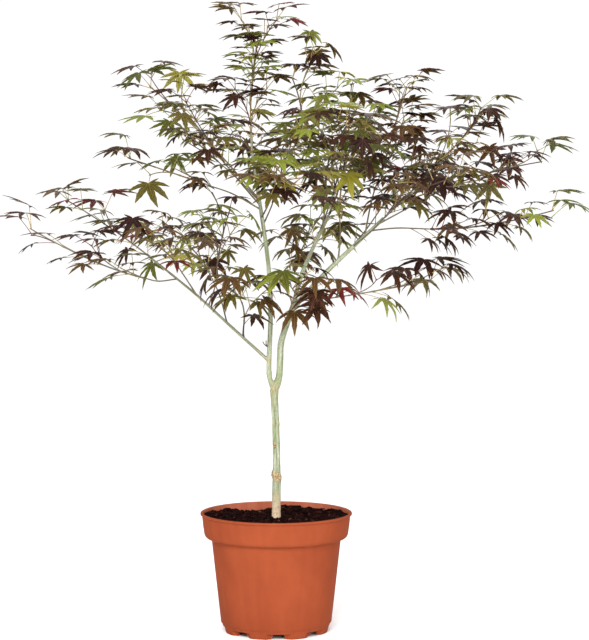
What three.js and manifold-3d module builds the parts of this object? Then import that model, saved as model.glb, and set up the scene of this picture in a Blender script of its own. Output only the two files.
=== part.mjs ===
// A young palmate-leaved maple grown as a small open tree, in a round plastic nursery pot.
// Millimetres, +Z up. The origin is the centre of the pot's flat foot; +X is the tree's right, -Y its front.
//
// pot and compost      the shell with its stepped rim and foot ring, and the growing mix that fills it
// trunk, limbs         tapering solids, each cut clear of the limb that carries it
// foliage masses       one solid each: a stem, its shoots and its leaves, grown by a seeded rule
import * as THREE from "three";
import { mergeVertices } from "three/addons/utils/BufferGeometryUtils.js";
import Module from "manifold-3d";

const wasm = await Module();
wasm.setup();

const UP = new THREE.Vector3(0, 0, 1);
const GAP = 0.3; // between one solid and its neighbour

const POT = {
  height: 150,
  wall: 1.7,
  footRadius: 65.6, // outside of the foot ring
  stepHeight: 11, // where the foot ring steps out to the body
  stepOut: 2.2,
  shoulderRadius: 81.5, // top of the body, under the band
  bandRadius: 90.5, // bottom of the rim band
  bandHeight: 32,
  rimRadius: 93.7,
  lip: 1.7, // the lip stands this far out of the band
  lipHeight: 2.6,
  floorHeight: 6.4, // underside of the floor
  floor: 2,
  padRadius: 15, // flat pad under the middle of the floor
  sides: 32,
};
const NOTCH = { count: 8, width: 15, height: 6.3, turn: 2.9, hole: 4.5, holeRing: 50 };
const COMPOST = { edge: 143.5, middle: 142.6, seat: 9, lump: 1.6, rings: [78, 52, 26] };

const RING = 22; // from one ring of a limb's corners to the next
const SIDES = [[4.4, 12], [2, 8], [0, 5]]; // how many sides a limb has whose radius is over so much

// Each limb leaves its carrier at a share of that carrier's length, passes through via and ends at tip.
// thick gives its radius at the root and at the tip, and flare what either end adds to it.
const LIMBS = [
  { name: "trunk", root: [0, 0, 142.9], via: [[0.4, 0, 224]], tip: [-2.5, 0, 305], thick: [5.2, 4.4], flare: [0.4, 1.3] },
  { name: "leader", on: "trunk", at: 1, via: [[-9, 0, 328], [-7, 1, 397], [-10, 2, 464]], tip: [-22, 4, 550], thick: [3.2, 2.3] },
  { name: "leader_top", on: "leader", at: 1, via: [[-29, 3, 595]], tip: [-31, 1, 626], thick: [2.1, 1.5] },
  { name: "right_stem", on: "trunk", at: 1, via: [[3.6, 0, 320], [5, 0, 343], [7, 0, 367]], tip: [21, -1, 409], thick: [4.3, 3.6] },
  { name: "right_inner", on: "right_stem", at: 1, via: [[35, 6, 457]], tip: [66, 14, 523], thick: [2.9, 2] },
  { name: "right_outer", on: "right_stem", at: 0.97, via: [[64, -8, 454]], tip: [134, -14, 520], thick: [3.3, 2.1] },
  { name: "left_low", on: "leader", at: 0.15, via: [[-60, -8, 388], [-101, -12, 426]], tip: [-157, -16, 472], thick: [2.4, 1.3] },
  { name: "left_side", on: "left_low", at: 0.78, via: [[-146, -20, 442]], tip: [-162, -27, 446], thick: [1.3, 1.1] },
  { name: "left_rise", on: "left_low", at: 0.52, via: [[-76, 2, 436]], tip: [-74, 6, 458], thick: [1.4, 1.1] },
  { name: "left_back", on: "left_low", at: 0.36, via: [[-72, 32, 422]], tip: [-86, 66, 448], thick: [1.4, 1.1] },
  { name: "left_front", on: "left_low", at: 0.62, via: [[-112, -40, 448]], tip: [-122, -66, 466], thick: [1.4, 1.1] },
  { name: "low_twig", on: "left_low", at: 0.22, via: [[-41, -6, 378]], tip: [-40, -10, 390], thick: [1.1, 0.9] },
  { name: "right_low", on: "right_outer", at: 0.86, via: [[150, -22, 508]], tip: [190, -26, 507], thick: [1.5, 1.1] },
  { name: "right_twig", on: "right_stem", at: 0.93, via: [[42, -16, 417]], tip: [66, -26, 421], thick: [1.2, 0.9] },
  { name: "right_rise", on: "right_outer", at: 0.52, via: [[80, -12, 497]], tip: [79, -16, 524], thick: [1.6, 1.2] },
  { name: "front_twig", on: "right_stem", at: 0.8, via: [[15, -14, 397]], tip: [16, -24, 402], thick: [1.1, 0.9] },
  { name: "centre_back", on: "leader", at: 0.5, via: [[4, 26, 446]], tip: [20, 50, 462], thick: [1.4, 1.1] },
  { name: "inner_back", on: "right_inner", at: 0.66, via: [[62, 48, 520]], tip: [72, 84, 548], thick: [1.6, 1.2] },
  { name: "inner_front", on: "right_inner", at: 0.84, via: [[62, -22, 542]], tip: [62, -54, 568], thick: [1.5, 1.1] },
  { name: "outer_high", on: "right_outer", at: 0.8, via: [[120, 6, 544]], tip: [132, 16, 578], thick: [1.6, 1.2] },
  { name: "outer_right", on: "right_outer", at: 0.92, via: [[160, -4, 530]], tip: [194, 6, 548], thick: [1.5, 1.1] },
  { name: "outer_front", on: "right_outer", at: 0.68, via: [[120, -52, 508]], tip: [140, -90, 532], thick: [1.5, 1.1] },
  { name: "outer_back", on: "right_outer", at: 0.62, via: [[112, 40, 502]], tip: [134, 84, 530], thick: [1.5, 1.1] },
  { name: "whorl_left_high", on: "leader", at: 0.97, via: [[-48, 10, 574]], tip: [-78, 14, 608], thick: [1.7, 1.3] },
  { name: "whorl_left", on: "leader", at: 0.92, via: [[-54, -4, 550]], tip: [-88, -6, 562], thick: [1.5, 1.1] },
  { name: "whorl_left_front", on: "leader", at: 0.96, via: [[-44, -30, 566]], tip: [-70, -56, 590], thick: [1.5, 1.1] },
  { name: "whorl_left_back", on: "leader", at: 0.94, via: [[-44, 38, 562]], tip: [-66, 70, 588], thick: [1.5, 1.1] },
  { name: "whorl_right", on: "leader", at: 0.99, via: [[0, -8, 578]], tip: [22, -12, 608], thick: [1.6, 1.2] },
  { name: "whorl_front", on: "leader", at: 0.88, via: [[-8, -36, 540]], tip: [0, -70, 558], thick: [1.5, 1.1] },
  { name: "leader_back", on: "leader", at: 0.84, via: [[-6, 40, 534]], tip: [2, 76, 558], thick: [1.5, 1.1] },
];

// Each mass of foliage grows on from a limb's tip to its own tip. width is its spread across the stem,
// droop how far its blades hang below their shoots, in degrees, and lift how steeply its shoots climb.
const MASSES = [
  { name: "foliage_top", limb: "leader_top", tip: [-21, -4, 750], width: 140, droop: 5, lift: 0.5, seed: 3 },
  { name: "foliage_left_high", limb: "whorl_left_high", tip: [-158, 18, 684], width: 150, droop: 6, lift: 0.3, seed: 8 },
  { name: "foliage_left", limb: "whorl_left", tip: [-182, -8, 594], width: 140, droop: 11, lift: 0.1, seed: 13 },
  { name: "foliage_left_front", limb: "whorl_left_front", tip: [-120, -150, 640], width: 160, droop: 12, lift: 0.2, seed: 21 },
  { name: "foliage_left_back", limb: "whorl_left_back", tip: [-110, 175, 642], width: 160, droop: 11, lift: 0.2, seed: 34 },
  { name: "foliage_crown", limb: "whorl_right", tip: [20, -6, 694], width: 180, droop: 12, lift: 0.3, seed: 55 },
  { name: "foliage_front", limb: "whorl_front", tip: [20, -185, 562], width: 160, droop: 16, lift: 0.1, seed: 89 },
  { name: "foliage_back", limb: "leader_back", tip: [0, 190, 610], width: 160, droop: 13, lift: 0.2, seed: 144 },
  { name: "foliage_far_left", limb: "left_low", tip: [-258, -24, 542], width: 100, droop: 7, lift: 0.2, seed: 17 },
  { name: "foliage_far_left_low", limb: "left_side", tip: [-302, -44, 508], width: 100, droop: 9, lift: 0.2, seed: 29 },
  { name: "foliage_left_inner", limb: "left_rise", tip: [-58, 14, 530], width: 170, droop: 17, lift: 0.2, seed: 43 },
  { name: "foliage_left_low_back", limb: "left_back", tip: [-150, 170, 502], width: 140, droop: 15, lift: 0.1, seed: 53 },
  { name: "foliage_left_low_front", limb: "left_front", tip: [-165, -160, 502], width: 140, droop: 15, lift: 0.1, seed: 67 },
  { name: "foliage_low", limb: "low_twig", tip: [-62, -84, 438], width: 160, droop: 20, lift: 0.1, seed: 71 },
  { name: "foliage_far_right_low", limb: "right_low", tip: [342, -34, 530], width: 110, droop: 17, lift: 0.1, seed: 83 },
  { name: "foliage_right_low", limb: "right_twig", tip: [192, -44, 444], width: 120, droop: 20, lift: 0.2, seed: 97 },
  { name: "foliage_right_inner", limb: "right_rise", tip: [92, -36, 608], width: 160, droop: 15, lift: 0.2, seed: 103 },
  { name: "foliage_right_crown", limb: "right_inner", tip: [92, 20, 660], width: 180, droop: 13, lift: 0.3, seed: 113 },
  { name: "foliage_low_front", limb: "front_twig", tip: [28, -112, 440], width: 150, droop: 21, lift: 0.1, seed: 127 },
  { name: "foliage_centre", limb: "centre_back", tip: [44, 120, 510], width: 160, droop: 17, lift: 0.1, seed: 131 },
  { name: "foliage_right_back", limb: "inner_back", tip: [92, 200, 640], width: 160, droop: 13, lift: 0.2, seed: 149 },
  { name: "foliage_right_front", limb: "inner_front", tip: [84, -170, 632], width: 160, droop: 14, lift: 0.2, seed: 157 },
  { name: "foliage_right_high", limb: "outer_high", tip: [158, 26, 670], width: 150, droop: 9, lift: 0.3, seed: 163 },
  { name: "foliage_right_upper", limb: "right_outer", tip: [250, -10, 640], width: 150, droop: 10, lift: 0.3, seed: 173 },
  { name: "foliage_far_right", limb: "outer_right", tip: [332, 10, 590], width: 140, droop: 11, lift: 0.2, seed: 181 },
  { name: "foliage_right_low_front", limb: "outer_front", tip: [216, -180, 574], width: 150, droop: 15, lift: 0.2, seed: 191 },
  { name: "foliage_right_low_back", limb: "outer_back", tip: [214, 180, 578], width: 150, droop: 14, lift: 0.2, seed: 199 },
];

const GROWTH = {
  bend: 0.42, // share of a stem's span for which it keeps its limb's direction
  node: 36, // between two pairs of shoots along a stem
  shootAngle: 0.9, // radians between a stem and its shoots
  twist: 0.6, // radians by which every second pair is turned round a level stem, a quarter turn on a steep one
  reach: [0.55, 1], // shortest and longest shoot, as a share of the room for it
  narrowing: 0.4, // share of that room lost at the stem's tip
  leafReach: 22, // room that the leaves at a shoot's end take beyond it
  stalkLength: [18, 30],
  stalkWay: [0.55, 0.75, 0.4], // how far a stalk leans along its twig, away from it and up
  bladeWay: [0.5, 0.85], // how far a blade points along its twig and away from it
  climb: 0.3, // share of that way's climb that the blade keeps
  stem: [1, 0.75], // radii at the foot and the tip
  shoot: [0.75, 0.65],
  stalk: 0.6, // half width of a leaf stalk
  sink: 1.5, // how far a stalk's root lies inside its twig
  space: 0.62, // of a mass's width, from its stem's line to the tips that it may hold
  tidy: 0.15, // detail finer than this is dropped where solids are fused
};
const LEAF = {
  length: 46, // from the stalk to the middle lobe's tip
  lobes: [[-1.62, 0.62], [-0.78, 0.92], [0, 1], [0.78, 0.92], [1.62, 0.62]], // angle, share of the length
  notch: 0.46, // of the length, from the stalk to the bottom of a notch
  middle: 0.15, // of the length, from the stalk to the thickest place
  thick: 1,
  curl: [0.12, 0.012], // how far the lobes' tips bend down, as a share of the length: level, and for each degree of droop
  hang: [-9, 12], // degrees by which one blade droops more than another
  sway: 0.3, // most radians that a blade is turned or rolled aside
  room: [5, 3], // half width of a lobe inside and outside the notches, in the test for crowding
  overlap: 3, // how much nearer two blades of one mass may lie
};

const vec = (p) => new THREE.Vector3(...p);

// Park-Miller random numbers, the same for the same seed.
class Dice {
  constructor(seed) {
    this.state = seed * 7919;
    this.roll();
    this.roll();
  }
  roll() {
    this.state = (this.state * 16807) % 2147483647;
    return this.state / 2147483647;
  }
  between(low, high) {
    return low + (high - low) * this.roll();
  }
}

// ---------- geometry helpers ----------

function solidOf(geometry) {
  const plain = geometry.clone();
  plain.deleteAttribute("normal");
  plain.deleteAttribute("uv");
  const merged = mergeVertices(plain, 1e-4);
  return new wasm.Manifold(
    new wasm.Mesh({
      numProp: 3,
      vertProperties: merged.attributes.position.array,
      triVerts: new Uint32Array(merged.index.array),
    }),
  );
}

// The largest body of a solid, as a geometry. Loose scraps are dropped.
function geometryOf(solid) {
  const [body] = solid.decompose().sort((a, b) => b.volume() - a.volume());
  const { vertProperties, triVerts, numProp, numVert } = body.getMesh();
  const positions = new Float32Array(numVert * 3);
  for (let i = 0; i < numVert; i++) {
    positions.set(vertProperties.subarray(i * numProp, i * numProp + 3), i * 3);
  }
  const geometry = new THREE.BufferGeometry();
  geometry.setAttribute("position", new THREE.BufferAttribute(positions, 3));
  geometry.setIndex(new THREE.BufferAttribute(new Uint32Array(triVerts), 1));
  geometry.computeVertexNormals();
  return geometry;
}

// A closed cylinder bent along a curve. radiusAt gives its radius at each share of the curve;
// grow makes it that much thicker and longer at both ends, for cutting a clear seat.
function limbGeometry(curve, radiusAt, sides, rings, grow = 0) {
  const geometry = new THREE.CylinderGeometry(1, 1, 1, sides, rings);
  const places = geometry.attributes.position;
  const frames = Array.from({ length: rings + 1 }, (_, i) => ({
    point: curve.getPointAt(i / rings),
    tangent: curve.getTangentAt(i / rings),
  }));
  let across = new THREE.Vector3(1, 0, 0);
  for (const frame of frames) {
    across.addScaledVector(frame.tangent, -across.dot(frame.tangent)).normalize();
    frame.across = across.clone();
    frame.beside = new THREE.Vector3().crossVectors(across, frame.tangent);
  }
  frames[0].point.addScaledVector(frames[0].tangent, -grow);
  frames[rings].point.addScaledVector(frames[rings].tangent, grow);
  const place = new THREE.Vector3();
  for (let i = 0; i < places.count; i++) {
    place.fromBufferAttribute(places, i);
    const ring = Math.round((place.y + 0.5) * rings);
    const radius = radiusAt(ring / rings) + grow;
    const frame = frames[ring];
    const moved = frame.point
      .clone()
      .addScaledVector(frame.across, place.x * radius)
      .addScaledVector(frame.beside, place.z * radius);
    places.setXYZ(i, moved.x, moved.y, moved.z);
  }
  return geometry;
}

const taper = ([root, tip]) => (t) => root + (tip - root) * t;

// ---------- pot and compost ----------

const upright = (profile, sides) =>
  new THREE.LatheGeometry(profile.map(([r, z]) => new THREE.Vector2(r, z)), sides).rotateX(Math.PI / 2);

// Outer radius of the pot's body and rim at a height above the foot ring's step.
function potRadius(z) {
  const shoulder = POT.height - POT.bandHeight;
  if (z < shoulder) {
    const share = (z - POT.stepHeight) / (shoulder - POT.stepHeight);
    return POT.footRadius + 2 + POT.stepOut + share * (POT.shoulderRadius - POT.footRadius - 2 - POT.stepOut);
  }
  return POT.bandRadius + ((z - shoulder) / POT.bandHeight) * (POT.rimRadius - POT.bandRadius);
}

function potGeometry() {
  const { height, wall, footRadius, stepHeight, floorHeight, floor, padRadius, lip, lipHeight, sides } = POT;
  const shoulder = height - POT.bandHeight;
  const soft = 3; // radius of the band's lower corner
  const floorTop = floorHeight + floor;
  const outside = [
    [footRadius, 0],
    [footRadius + 2, stepHeight - 1],
    [potRadius(stepHeight), stepHeight + 1],
    [potRadius(shoulder - 1), shoulder - 1],
    [POT.bandRadius - soft, shoulder],
    [POT.bandRadius, shoulder + soft],
    [potRadius(height - lipHeight), height - lipHeight - 0.6],
    [POT.rimRadius + lip, height - lipHeight],
    [POT.rimRadius + lip, height - 0.7],
    [POT.rimRadius + lip - 1, height],
  ];
  const inside = [
    [potRadius(height) - wall, height],
    [POT.bandRadius - wall, shoulder + soft + 1],
    [potRadius(shoulder - 1) - wall, shoulder + 1.6],
    [footRadius + 2 - wall, floorTop],
    [0, floorTop],
  ];
  const underside = [
    [0, 0],
    [padRadius, 0],
    [padRadius, floorHeight],
    [footRadius - wall, floorHeight],
    [footRadius - wall, 0],
  ];
  let shell = solidOf(upright([...underside, ...outside, ...inside], sides));
  for (let i = 0; i < NOTCH.count; i++) {
    const angle = -Math.PI / 2 + THREE.MathUtils.degToRad(NOTCH.turn) + (i * 2 * Math.PI) / NOTCH.count;
    const notch = new THREE.BoxGeometry(12, NOTCH.width, 2 * NOTCH.height).translate(footRadius, 0, 0);
    const hole = new THREE.CylinderGeometry(NOTCH.hole, NOTCH.hole, 6, 6)
      .rotateX(Math.PI / 2)
      .translate(NOTCH.holeRing, 0, floorHeight + floor / 2);
    shell = shell.subtract(solidOf(notch.rotateZ(angle))).subtract(solidOf(hole.rotateZ(angle)));
  }
  return geometryOf(shell);
}

function compostGeometry() {
  const clear = POT.wall + GAP;
  const shoulder = POT.height - POT.bandHeight;
  const bottom = POT.floorHeight + POT.floor + GAP;
  const segments = POT.sides;
  const profile = [
    [0, bottom],
    [POT.footRadius + 2 - clear - 0.2, bottom],
    [potRadius(shoulder - 1) - clear - 0.2, shoulder + 2],
    [POT.bandRadius - clear - 0.2, shoulder + 5],
    [potRadius(COMPOST.edge) - clear, COMPOST.edge],
    ...COMPOST.rings.map((r) => {
      const share = 1 - r / POT.bandRadius;
      return [r, COMPOST.edge + (COMPOST.middle - COMPOST.edge) * Math.min(1, 1.3 * share)];
    }),
    [COMPOST.seat, COMPOST.middle],
    [0, COMPOST.middle],
  ];
  const geometry = upright(profile, segments);
  const places = geometry.attributes.position;
  const dice = new Dice(5);
  const lumps = Array.from({ length: profile.length * segments }, () => dice.between(-1, 1));
  const firstRing = 5; // the rings before it lie against the pot
  for (let i = 0; i < places.count; i++) {
    const ring = i % profile.length;
    const segment = Math.floor(i / profile.length) % segments;
    if (ring >= firstRing && ring < firstRing + COMPOST.rings.length) {
      places.setZ(i, places.getZ(i) + COMPOST.lump * lumps[segment * profile.length + ring]);
    }
  }
  return geometry;
}

// ---------- room: what each limb and mass holds, as thin rods ----------

const room = [];

// Shortest distance between the segments a-b and c-d.
function rodDistance(a, b, c, d) {
  const u = b.clone().sub(a);
  const v = d.clone().sub(c);
  const w = a.clone().sub(c);
  const uu = u.dot(u);
  const vv = v.dot(v);
  const uv = u.dot(v);
  const uw = u.dot(w);
  const vw = v.dot(w);
  const clamp = (x) => Math.min(1, Math.max(0, x));
  const spread = uu * vv - uv * uv;
  let s = spread > 1e-9 ? clamp((uv * vw - uw * vv) / spread) : 0;
  const t = clamp((uv * s + vw) / vv);
  s = clamp((uv * t - uw) / uu);
  return w.addScaledVector(u, s).addScaledVector(v, -t).length();
}

const makeRod = (from, to, radius, owner) => ({ from, to, radius, owner, length: from.distanceTo(to) });

const rodsAlong = (curve, radiusAt, count, owner) =>
  Array.from({ length: count }, (_, i) =>
    makeRod(curve.getPointAt(i / count), curve.getPointAt((i + 1) / count), radiusAt(i / count), owner),
  );

// Whether rods keep clear of others, but for those of a neighbour that may touch them.
const isClear = (rods, others, neighbour) =>
  rods.every((rod) =>
    others.every((other) => {
      if (other.owner === neighbour) return true;
      const least = rod.radius + other.radius + 2 * GAP - (other.owner === rod.owner ? LEAF.overlap : 0);
      if (rod.from.distanceTo(other.from) > least + rod.length + other.length) return true;
      return rodDistance(rod.from, rod.to, other.from, other.to) > least;
    }),
  );

// ---------- trunk and limbs ----------

const limbs = new Map();

function growLimb({ name, on, at, root, via, tip, thick, flare = [0, 0] }) {
  const carrier = limbs.get(on);
  const start = carrier ? carrier.curve.getPointAt(at) : vec(root);
  const points = [start, ...via.map(vec), vec(tip)];
  const curve = new THREE.CatmullRomCurve3(points, false, "catmullrom", 0.5);
  const plain = taper(thick);
  const radiusAt = (t) => plain(t) + flare[0] * (1 - t) ** 8 + flare[1] * t ** 14;
  const rings = Math.max(3, Math.round(curve.getLength() / RING));
  const sides = SIDES.find(([least]) => thick[0] > least)[1];
  const solid = (grow) => solidOf(limbGeometry(curve, radiusAt, sides, rings, grow));
  let shape = solid(0);
  for (const { cutter } of limbs.values()) shape = shape.subtract(cutter);
  limbs.set(name, { curve, radiusAt, cutter: solid(GAP), geometry: geometryOf(shape) });
  room.push(...rodsAlong(curve, radiusAt, rings, name));
}

// ---------- foliage ----------

// The way a leaf or shoot leaves a stem: turn is its angle round the stem, from level.
function awayFrom(along, turn) {
  const level = new THREE.Vector3().crossVectors(along, UP);
  if (level.length() < 0.2) level.set(1, 0, 0);
  level.normalize();
  const rise = new THREE.Vector3().crossVectors(level, along);
  return level.multiplyScalar(Math.cos(turn)).addScaledVector(rise, Math.sin(turn));
}

// A blade and its stalk: the stalk's foot, the blade's own axes and its length.
function makeLeaf(foot, along, away, droop, dice) {
  const lean = ([forward, aside, up = 0]) =>
    along.clone().multiplyScalar(forward).addScaledVector(away, aside).addScaledVector(UP, up).normalize();
  const base = foot.clone().addScaledVector(lean(GROWTH.stalkWay), dice.between(...GROWTH.stalkLength));
  const heading = lean(GROWTH.bladeWay);
  const climb = Math.atan2(heading.z, Math.hypot(heading.x, heading.y));
  const pitch = GROWTH.climb * climb - THREE.MathUtils.degToRad(droop + dice.between(...LEAF.hang));
  const bearing = Math.atan2(heading.y, heading.x) + dice.between(-LEAF.sway, LEAF.sway);
  const forward = new THREE.Vector3(Math.cos(bearing), Math.sin(bearing), 0);
  forward.multiplyScalar(Math.cos(pitch)).addScaledVector(UP, Math.sin(pitch));
  const right = new THREE.Vector3().crossVectors(forward, UP).normalize();
  right.applyAxisAngle(forward, dice.between(-LEAF.sway, LEAF.sway));
  const normal = new THREE.Vector3().crossVectors(right, forward);
  const curl = LEAF.curl[0] + LEAF.curl[1] * droop;
  return { foot, base, right, forward, normal, curl, length: LEAF.length * dice.between(0.85, 1.1) };
}

const onBlade = (leaf, angle, share, lift = 0) =>
  leaf.base
    .clone()
    .addScaledVector(leaf.right, Math.sin(angle) * share * leaf.length)
    .addScaledVector(leaf.forward, Math.cos(angle) * share * leaf.length)
    .addScaledVector(leaf.normal, lift - leaf.curl * share * share * leaf.length);

function leafRods(leaf, owner) {
  const [inner, outer] = LEAF.room;
  const lobes = LEAF.lobes.flatMap(([angle, share]) => {
    const bend = onBlade(leaf, angle, LEAF.notch);
    return [
      makeRod(leaf.base, bend, inner, owner),
      makeRod(bend, onBlade(leaf, angle, share), outer, owner),
    ];
  });
  return [makeRod(leaf.foot, leaf.base, GROWTH.stalk, owner), ...lobes];
}

// One closed solid of a lobed blade, thickest near its stalk, and its three-sided stalk.
function leafGeometry(leaf) {
  const corner = (side) => leaf.base.clone().addScaledVector(leaf.right, side * GROWTH.stalk);
  const rim = [corner(-1)];
  LEAF.lobes.forEach(([angle, share], i) => {
    if (i) rim.push(onBlade(leaf, (angle + LEAF.lobes[i - 1][0]) / 2, LEAF.notch));
    rim.push(onBlade(leaf, angle, share));
  });
  rim.push(corner(1));
  const last = rim.length - 1;
  const top = onBlade(leaf, 0, LEAF.middle, LEAF.thick / 2);
  const under = onBlade(leaf, 0, LEAF.middle, -LEAF.thick / 2);
  const keel = leaf.base.clone().addScaledVector(leaf.normal, -1.6 * GROWTH.stalk);
  const neck = [rim[last], rim[0], keel];
  const heel = neck.map((point) => point.clone().sub(leaf.base).add(leaf.foot));
  const faces = [[top, rim[0], rim[last]], [under, rim[last], keel], [under, keel, rim[0]], heel];
  for (let i = 0; i < last; i++) {
    faces.push([top, rim[i + 1], rim[i]], [under, rim[i], rim[i + 1]]);
  }
  for (const [i, j] of [[0, 1], [1, 2], [2, 0]]) {
    faces.push([neck[i], neck[j], heel[j]], [neck[i], heel[j], heel[i]]);
  }
  return new THREE.BufferGeometry().setFromPoints(faces.flat());
}

// The stem of a mass, which grows on from its limb's tip to its own.
function growStem(mass) {
  const limb = limbs.get(mass.limb);
  const heading = limb.curve.getTangentAt(1);
  const start = limb.curve.getPointAt(1).addScaledVector(heading, GAP);
  const tip = vec(mass.tip);
  const bend = start.clone().addScaledVector(heading, GROWTH.bend * start.distanceTo(tip));
  const curve = new THREE.QuadraticBezierCurve3(start, bend, tip);
  const radiusAt = taper([Math.min(GROWTH.stem[0], 0.9 * limb.radiusAt(1)), GROWTH.stem[1]]);
  const rods = rodsAlong(curve, radiusAt, 5, mass.name);
  if (!isClear(rods, room, mass.limb)) console.warn(`${mass.name}: its stem is crowded`);
  room.push(...rods);
  return { ...mass, curve, radiusAt, span: start.distanceTo(tip), axis: new THREE.Line3(start, tip) };
}

// A mass: pairs of shoots along its stem that each end in two leaves, and three leaves at its tip.
function growMass(mass) {
  const { curve: stem, name, width, lift } = mass;
  const dice = new Dice(mass.seed);
  const solids = [solidOf(limbGeometry(stem, mass.radiusAt, 3, 5))];
  const held = [];
  const fromAxis = (point) => mass.axis.closestPointToPoint(point, true, new THREE.Vector3()).distanceTo(point);
  const isInside = (rods) => rods.every(({ to }) => fromAxis(to) < GROWTH.space * width);

  const leafAt = (curve, t, turn) => {
    const along = curve.getTangentAt(t);
    const at = curve.getPointAt(t).addScaledVector(along, -GROWTH.sink);
    const leaf = makeLeaf(at, along, awayFrom(along, turn), mass.droop, dice);
    return { leaf, rods: leafRods(leaf, name) };
  };
  const grow = (leaves, twig = []) => {
    const free = leaves.filter(({ rods }) => isInside(rods) && isClear(rods, room) && isClear(rods, held));
    if (!isClear(twig, room)) return 0;
    for (const { leaf, rods } of free) {
      solids.push(solidOf(leafGeometry(leaf)));
      held.push(...rods);
    }
    return free.length;
  };

  const nodes = Math.max(2, Math.round(mass.span / GROWTH.node));
  for (let i = 0; i < nodes; i++) {
    const t = (i + 0.6) / nodes;
    const along = stem.getTangentAt(t);
    const twist = THREE.MathUtils.lerp(GROWTH.twist, Math.PI / 2, along.z ** 2);
    const turn = (i % 2) * twist + dice.between(-0.25, 0.25);
    for (const side of [0, Math.PI]) {
      const most = (width / 2 - GROWTH.leafReach) * (1 - GROWTH.narrowing * t);
      const reach = most * dice.between(...GROWTH.reach);
      const way = along.clone().multiplyScalar(Math.cos(GROWTH.shootAngle));
      way.addScaledVector(awayFrom(along, turn + side), Math.sin(GROWTH.shootAngle));
      const from = stem.getPointAt(t);
      const to = from.clone().addScaledVector(way, reach).addScaledVector(UP, lift * reach);
      const shoot = new THREE.LineCurve3(from, to);
      const rods = rodsAlong(shoot, () => GROWTH.shoot[0], 1, name);
      if (grow([leafAt(shoot, 1, turn), leafAt(shoot, 1, turn + Math.PI)], rods)) {
        solids.push(solidOf(limbGeometry(shoot, taper(GROWTH.shoot), 3, 1)));
        held.push(...rods);
      }
    }
  }
  grow([leafAt(stem, 1, 0.2), leafAt(stem, 1, 0.2 + Math.PI), leafAt(stem, 1, Math.PI / 2)]);
  room.push(...held);
  return geometryOf(wasm.Manifold.union(solids).asOriginal().simplify(GROWTH.tidy));
}

// ---------- the whole ----------

const paint = (color, roughness) => new THREE.MeshStandardMaterial({ color, roughness, metalness: 0 });
const PAINT = {
  pot: paint(0xc05e3a, 0.5),
  compost: paint(0x2a1c14, 1),
  bark: paint(0xc3cbae, 0.7),
  twig: paint(0x9a9472, 0.75),
  foliage: [paint(0x5d6b2c, 0.6), paint(0x4c2c28, 0.6), paint(0x6d5a34, 0.6)],
};

const tree = new THREE.Group();

function add(name, geometry, material) {
  const mesh = new THREE.Mesh(geometry, material);
  mesh.name = name;
  tree.add(mesh);
}

add("pot", potGeometry(), PAINT.pot);
add("compost", compostGeometry(), PAINT.compost);
LIMBS.forEach(growLimb);
for (const [name, limb] of limbs) add(name, limb.geometry, limb.radiusAt(0) > 2 ? PAINT.bark : PAINT.twig);
const masses = MASSES.map(growStem);
masses.forEach((mass, i) => add(mass.name, growMass(mass), PAINT.foliage[i % PAINT.foliage.length]));

export default tree;
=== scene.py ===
# A young palmate maple in its nursery pot. Metres, +Z up; growth is worked out in millimetres.
import math

import bmesh
import bpy
import numpy as np
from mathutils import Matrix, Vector, noise
from mathutils.kdtree import KDTree


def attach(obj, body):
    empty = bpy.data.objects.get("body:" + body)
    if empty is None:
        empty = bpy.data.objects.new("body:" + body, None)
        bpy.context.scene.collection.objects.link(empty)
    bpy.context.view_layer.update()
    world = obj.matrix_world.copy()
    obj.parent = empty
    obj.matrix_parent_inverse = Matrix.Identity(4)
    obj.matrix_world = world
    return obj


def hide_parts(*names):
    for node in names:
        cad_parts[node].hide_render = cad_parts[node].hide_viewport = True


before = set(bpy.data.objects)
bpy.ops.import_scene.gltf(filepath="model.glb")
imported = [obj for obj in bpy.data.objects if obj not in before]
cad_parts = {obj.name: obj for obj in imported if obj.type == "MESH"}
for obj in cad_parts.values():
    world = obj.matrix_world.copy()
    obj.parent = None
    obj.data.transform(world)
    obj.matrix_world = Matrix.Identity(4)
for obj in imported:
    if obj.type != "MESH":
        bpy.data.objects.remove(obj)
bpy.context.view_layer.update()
mm = 0.001
up = np.array([0.0, 0.0, 1.0])

print("stage: camera, light and floor")

view = {"place": (0.023, -3.0, 0.601), "pitchDown": 3.98, "lens": 135.1}

lens = bpy.data.cameras.new("maple_camera")
lens.lens = view["lens"]
lens.sensor_width = 36
lens.clip_end = 60
camera = bpy.data.objects.new("maple_camera", lens)
camera.location = view["place"]
camera.rotation_euler = (math.radians(90 - view["pitchDown"]), 0, 0)
bpy.context.scene.collection.objects.link(camera)
bpy.context.scene.camera = camera

studio = {
    "floorRadius": 14,
    "sky": (1.0, 1.0, 1.0),
    "skyStrength": 1.05,
    # name: (place, looks at, width, watts)
    "lamps": {
        "key": ((-0.5, -3.1, 2.0), (0, 0, 0.4), 1.2, 120),
        "fill": ((0.9, -3.0, 0.9), (0, 0, 0.4), 1.4, 44),
        "back": ((0.4, 2.8, 2.2), (0, 0, 0.5), 1.6, 14),
    },
}


def srgb(red, green, blue):
    # screen values 0-255 to the linear colour that a shader takes
    parts = [value / 255 for value in (red, green, blue)]
    return tuple(v / 12.92 if v <= 0.04045 else ((v + 0.055) / 1.055) ** 2.4 for v in parts) + (1.0,)


def startMaterial(name):
    material = bpy.data.materials.new(name)
    material.use_nodes = True
    nodes = material.node_tree.nodes
    return material, nodes, material.node_tree.links, nodes["Principled BSDF"]


def addNode(nodes, kind, **settings):
    node = nodes.new(kind)
    for key, value in settings.items():
        if hasattr(node, key):
            setattr(node, key, value)
        else:
            node.inputs[key].default_value = value
    return node


def grey(value):
    return (value, value, value, 1)


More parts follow.
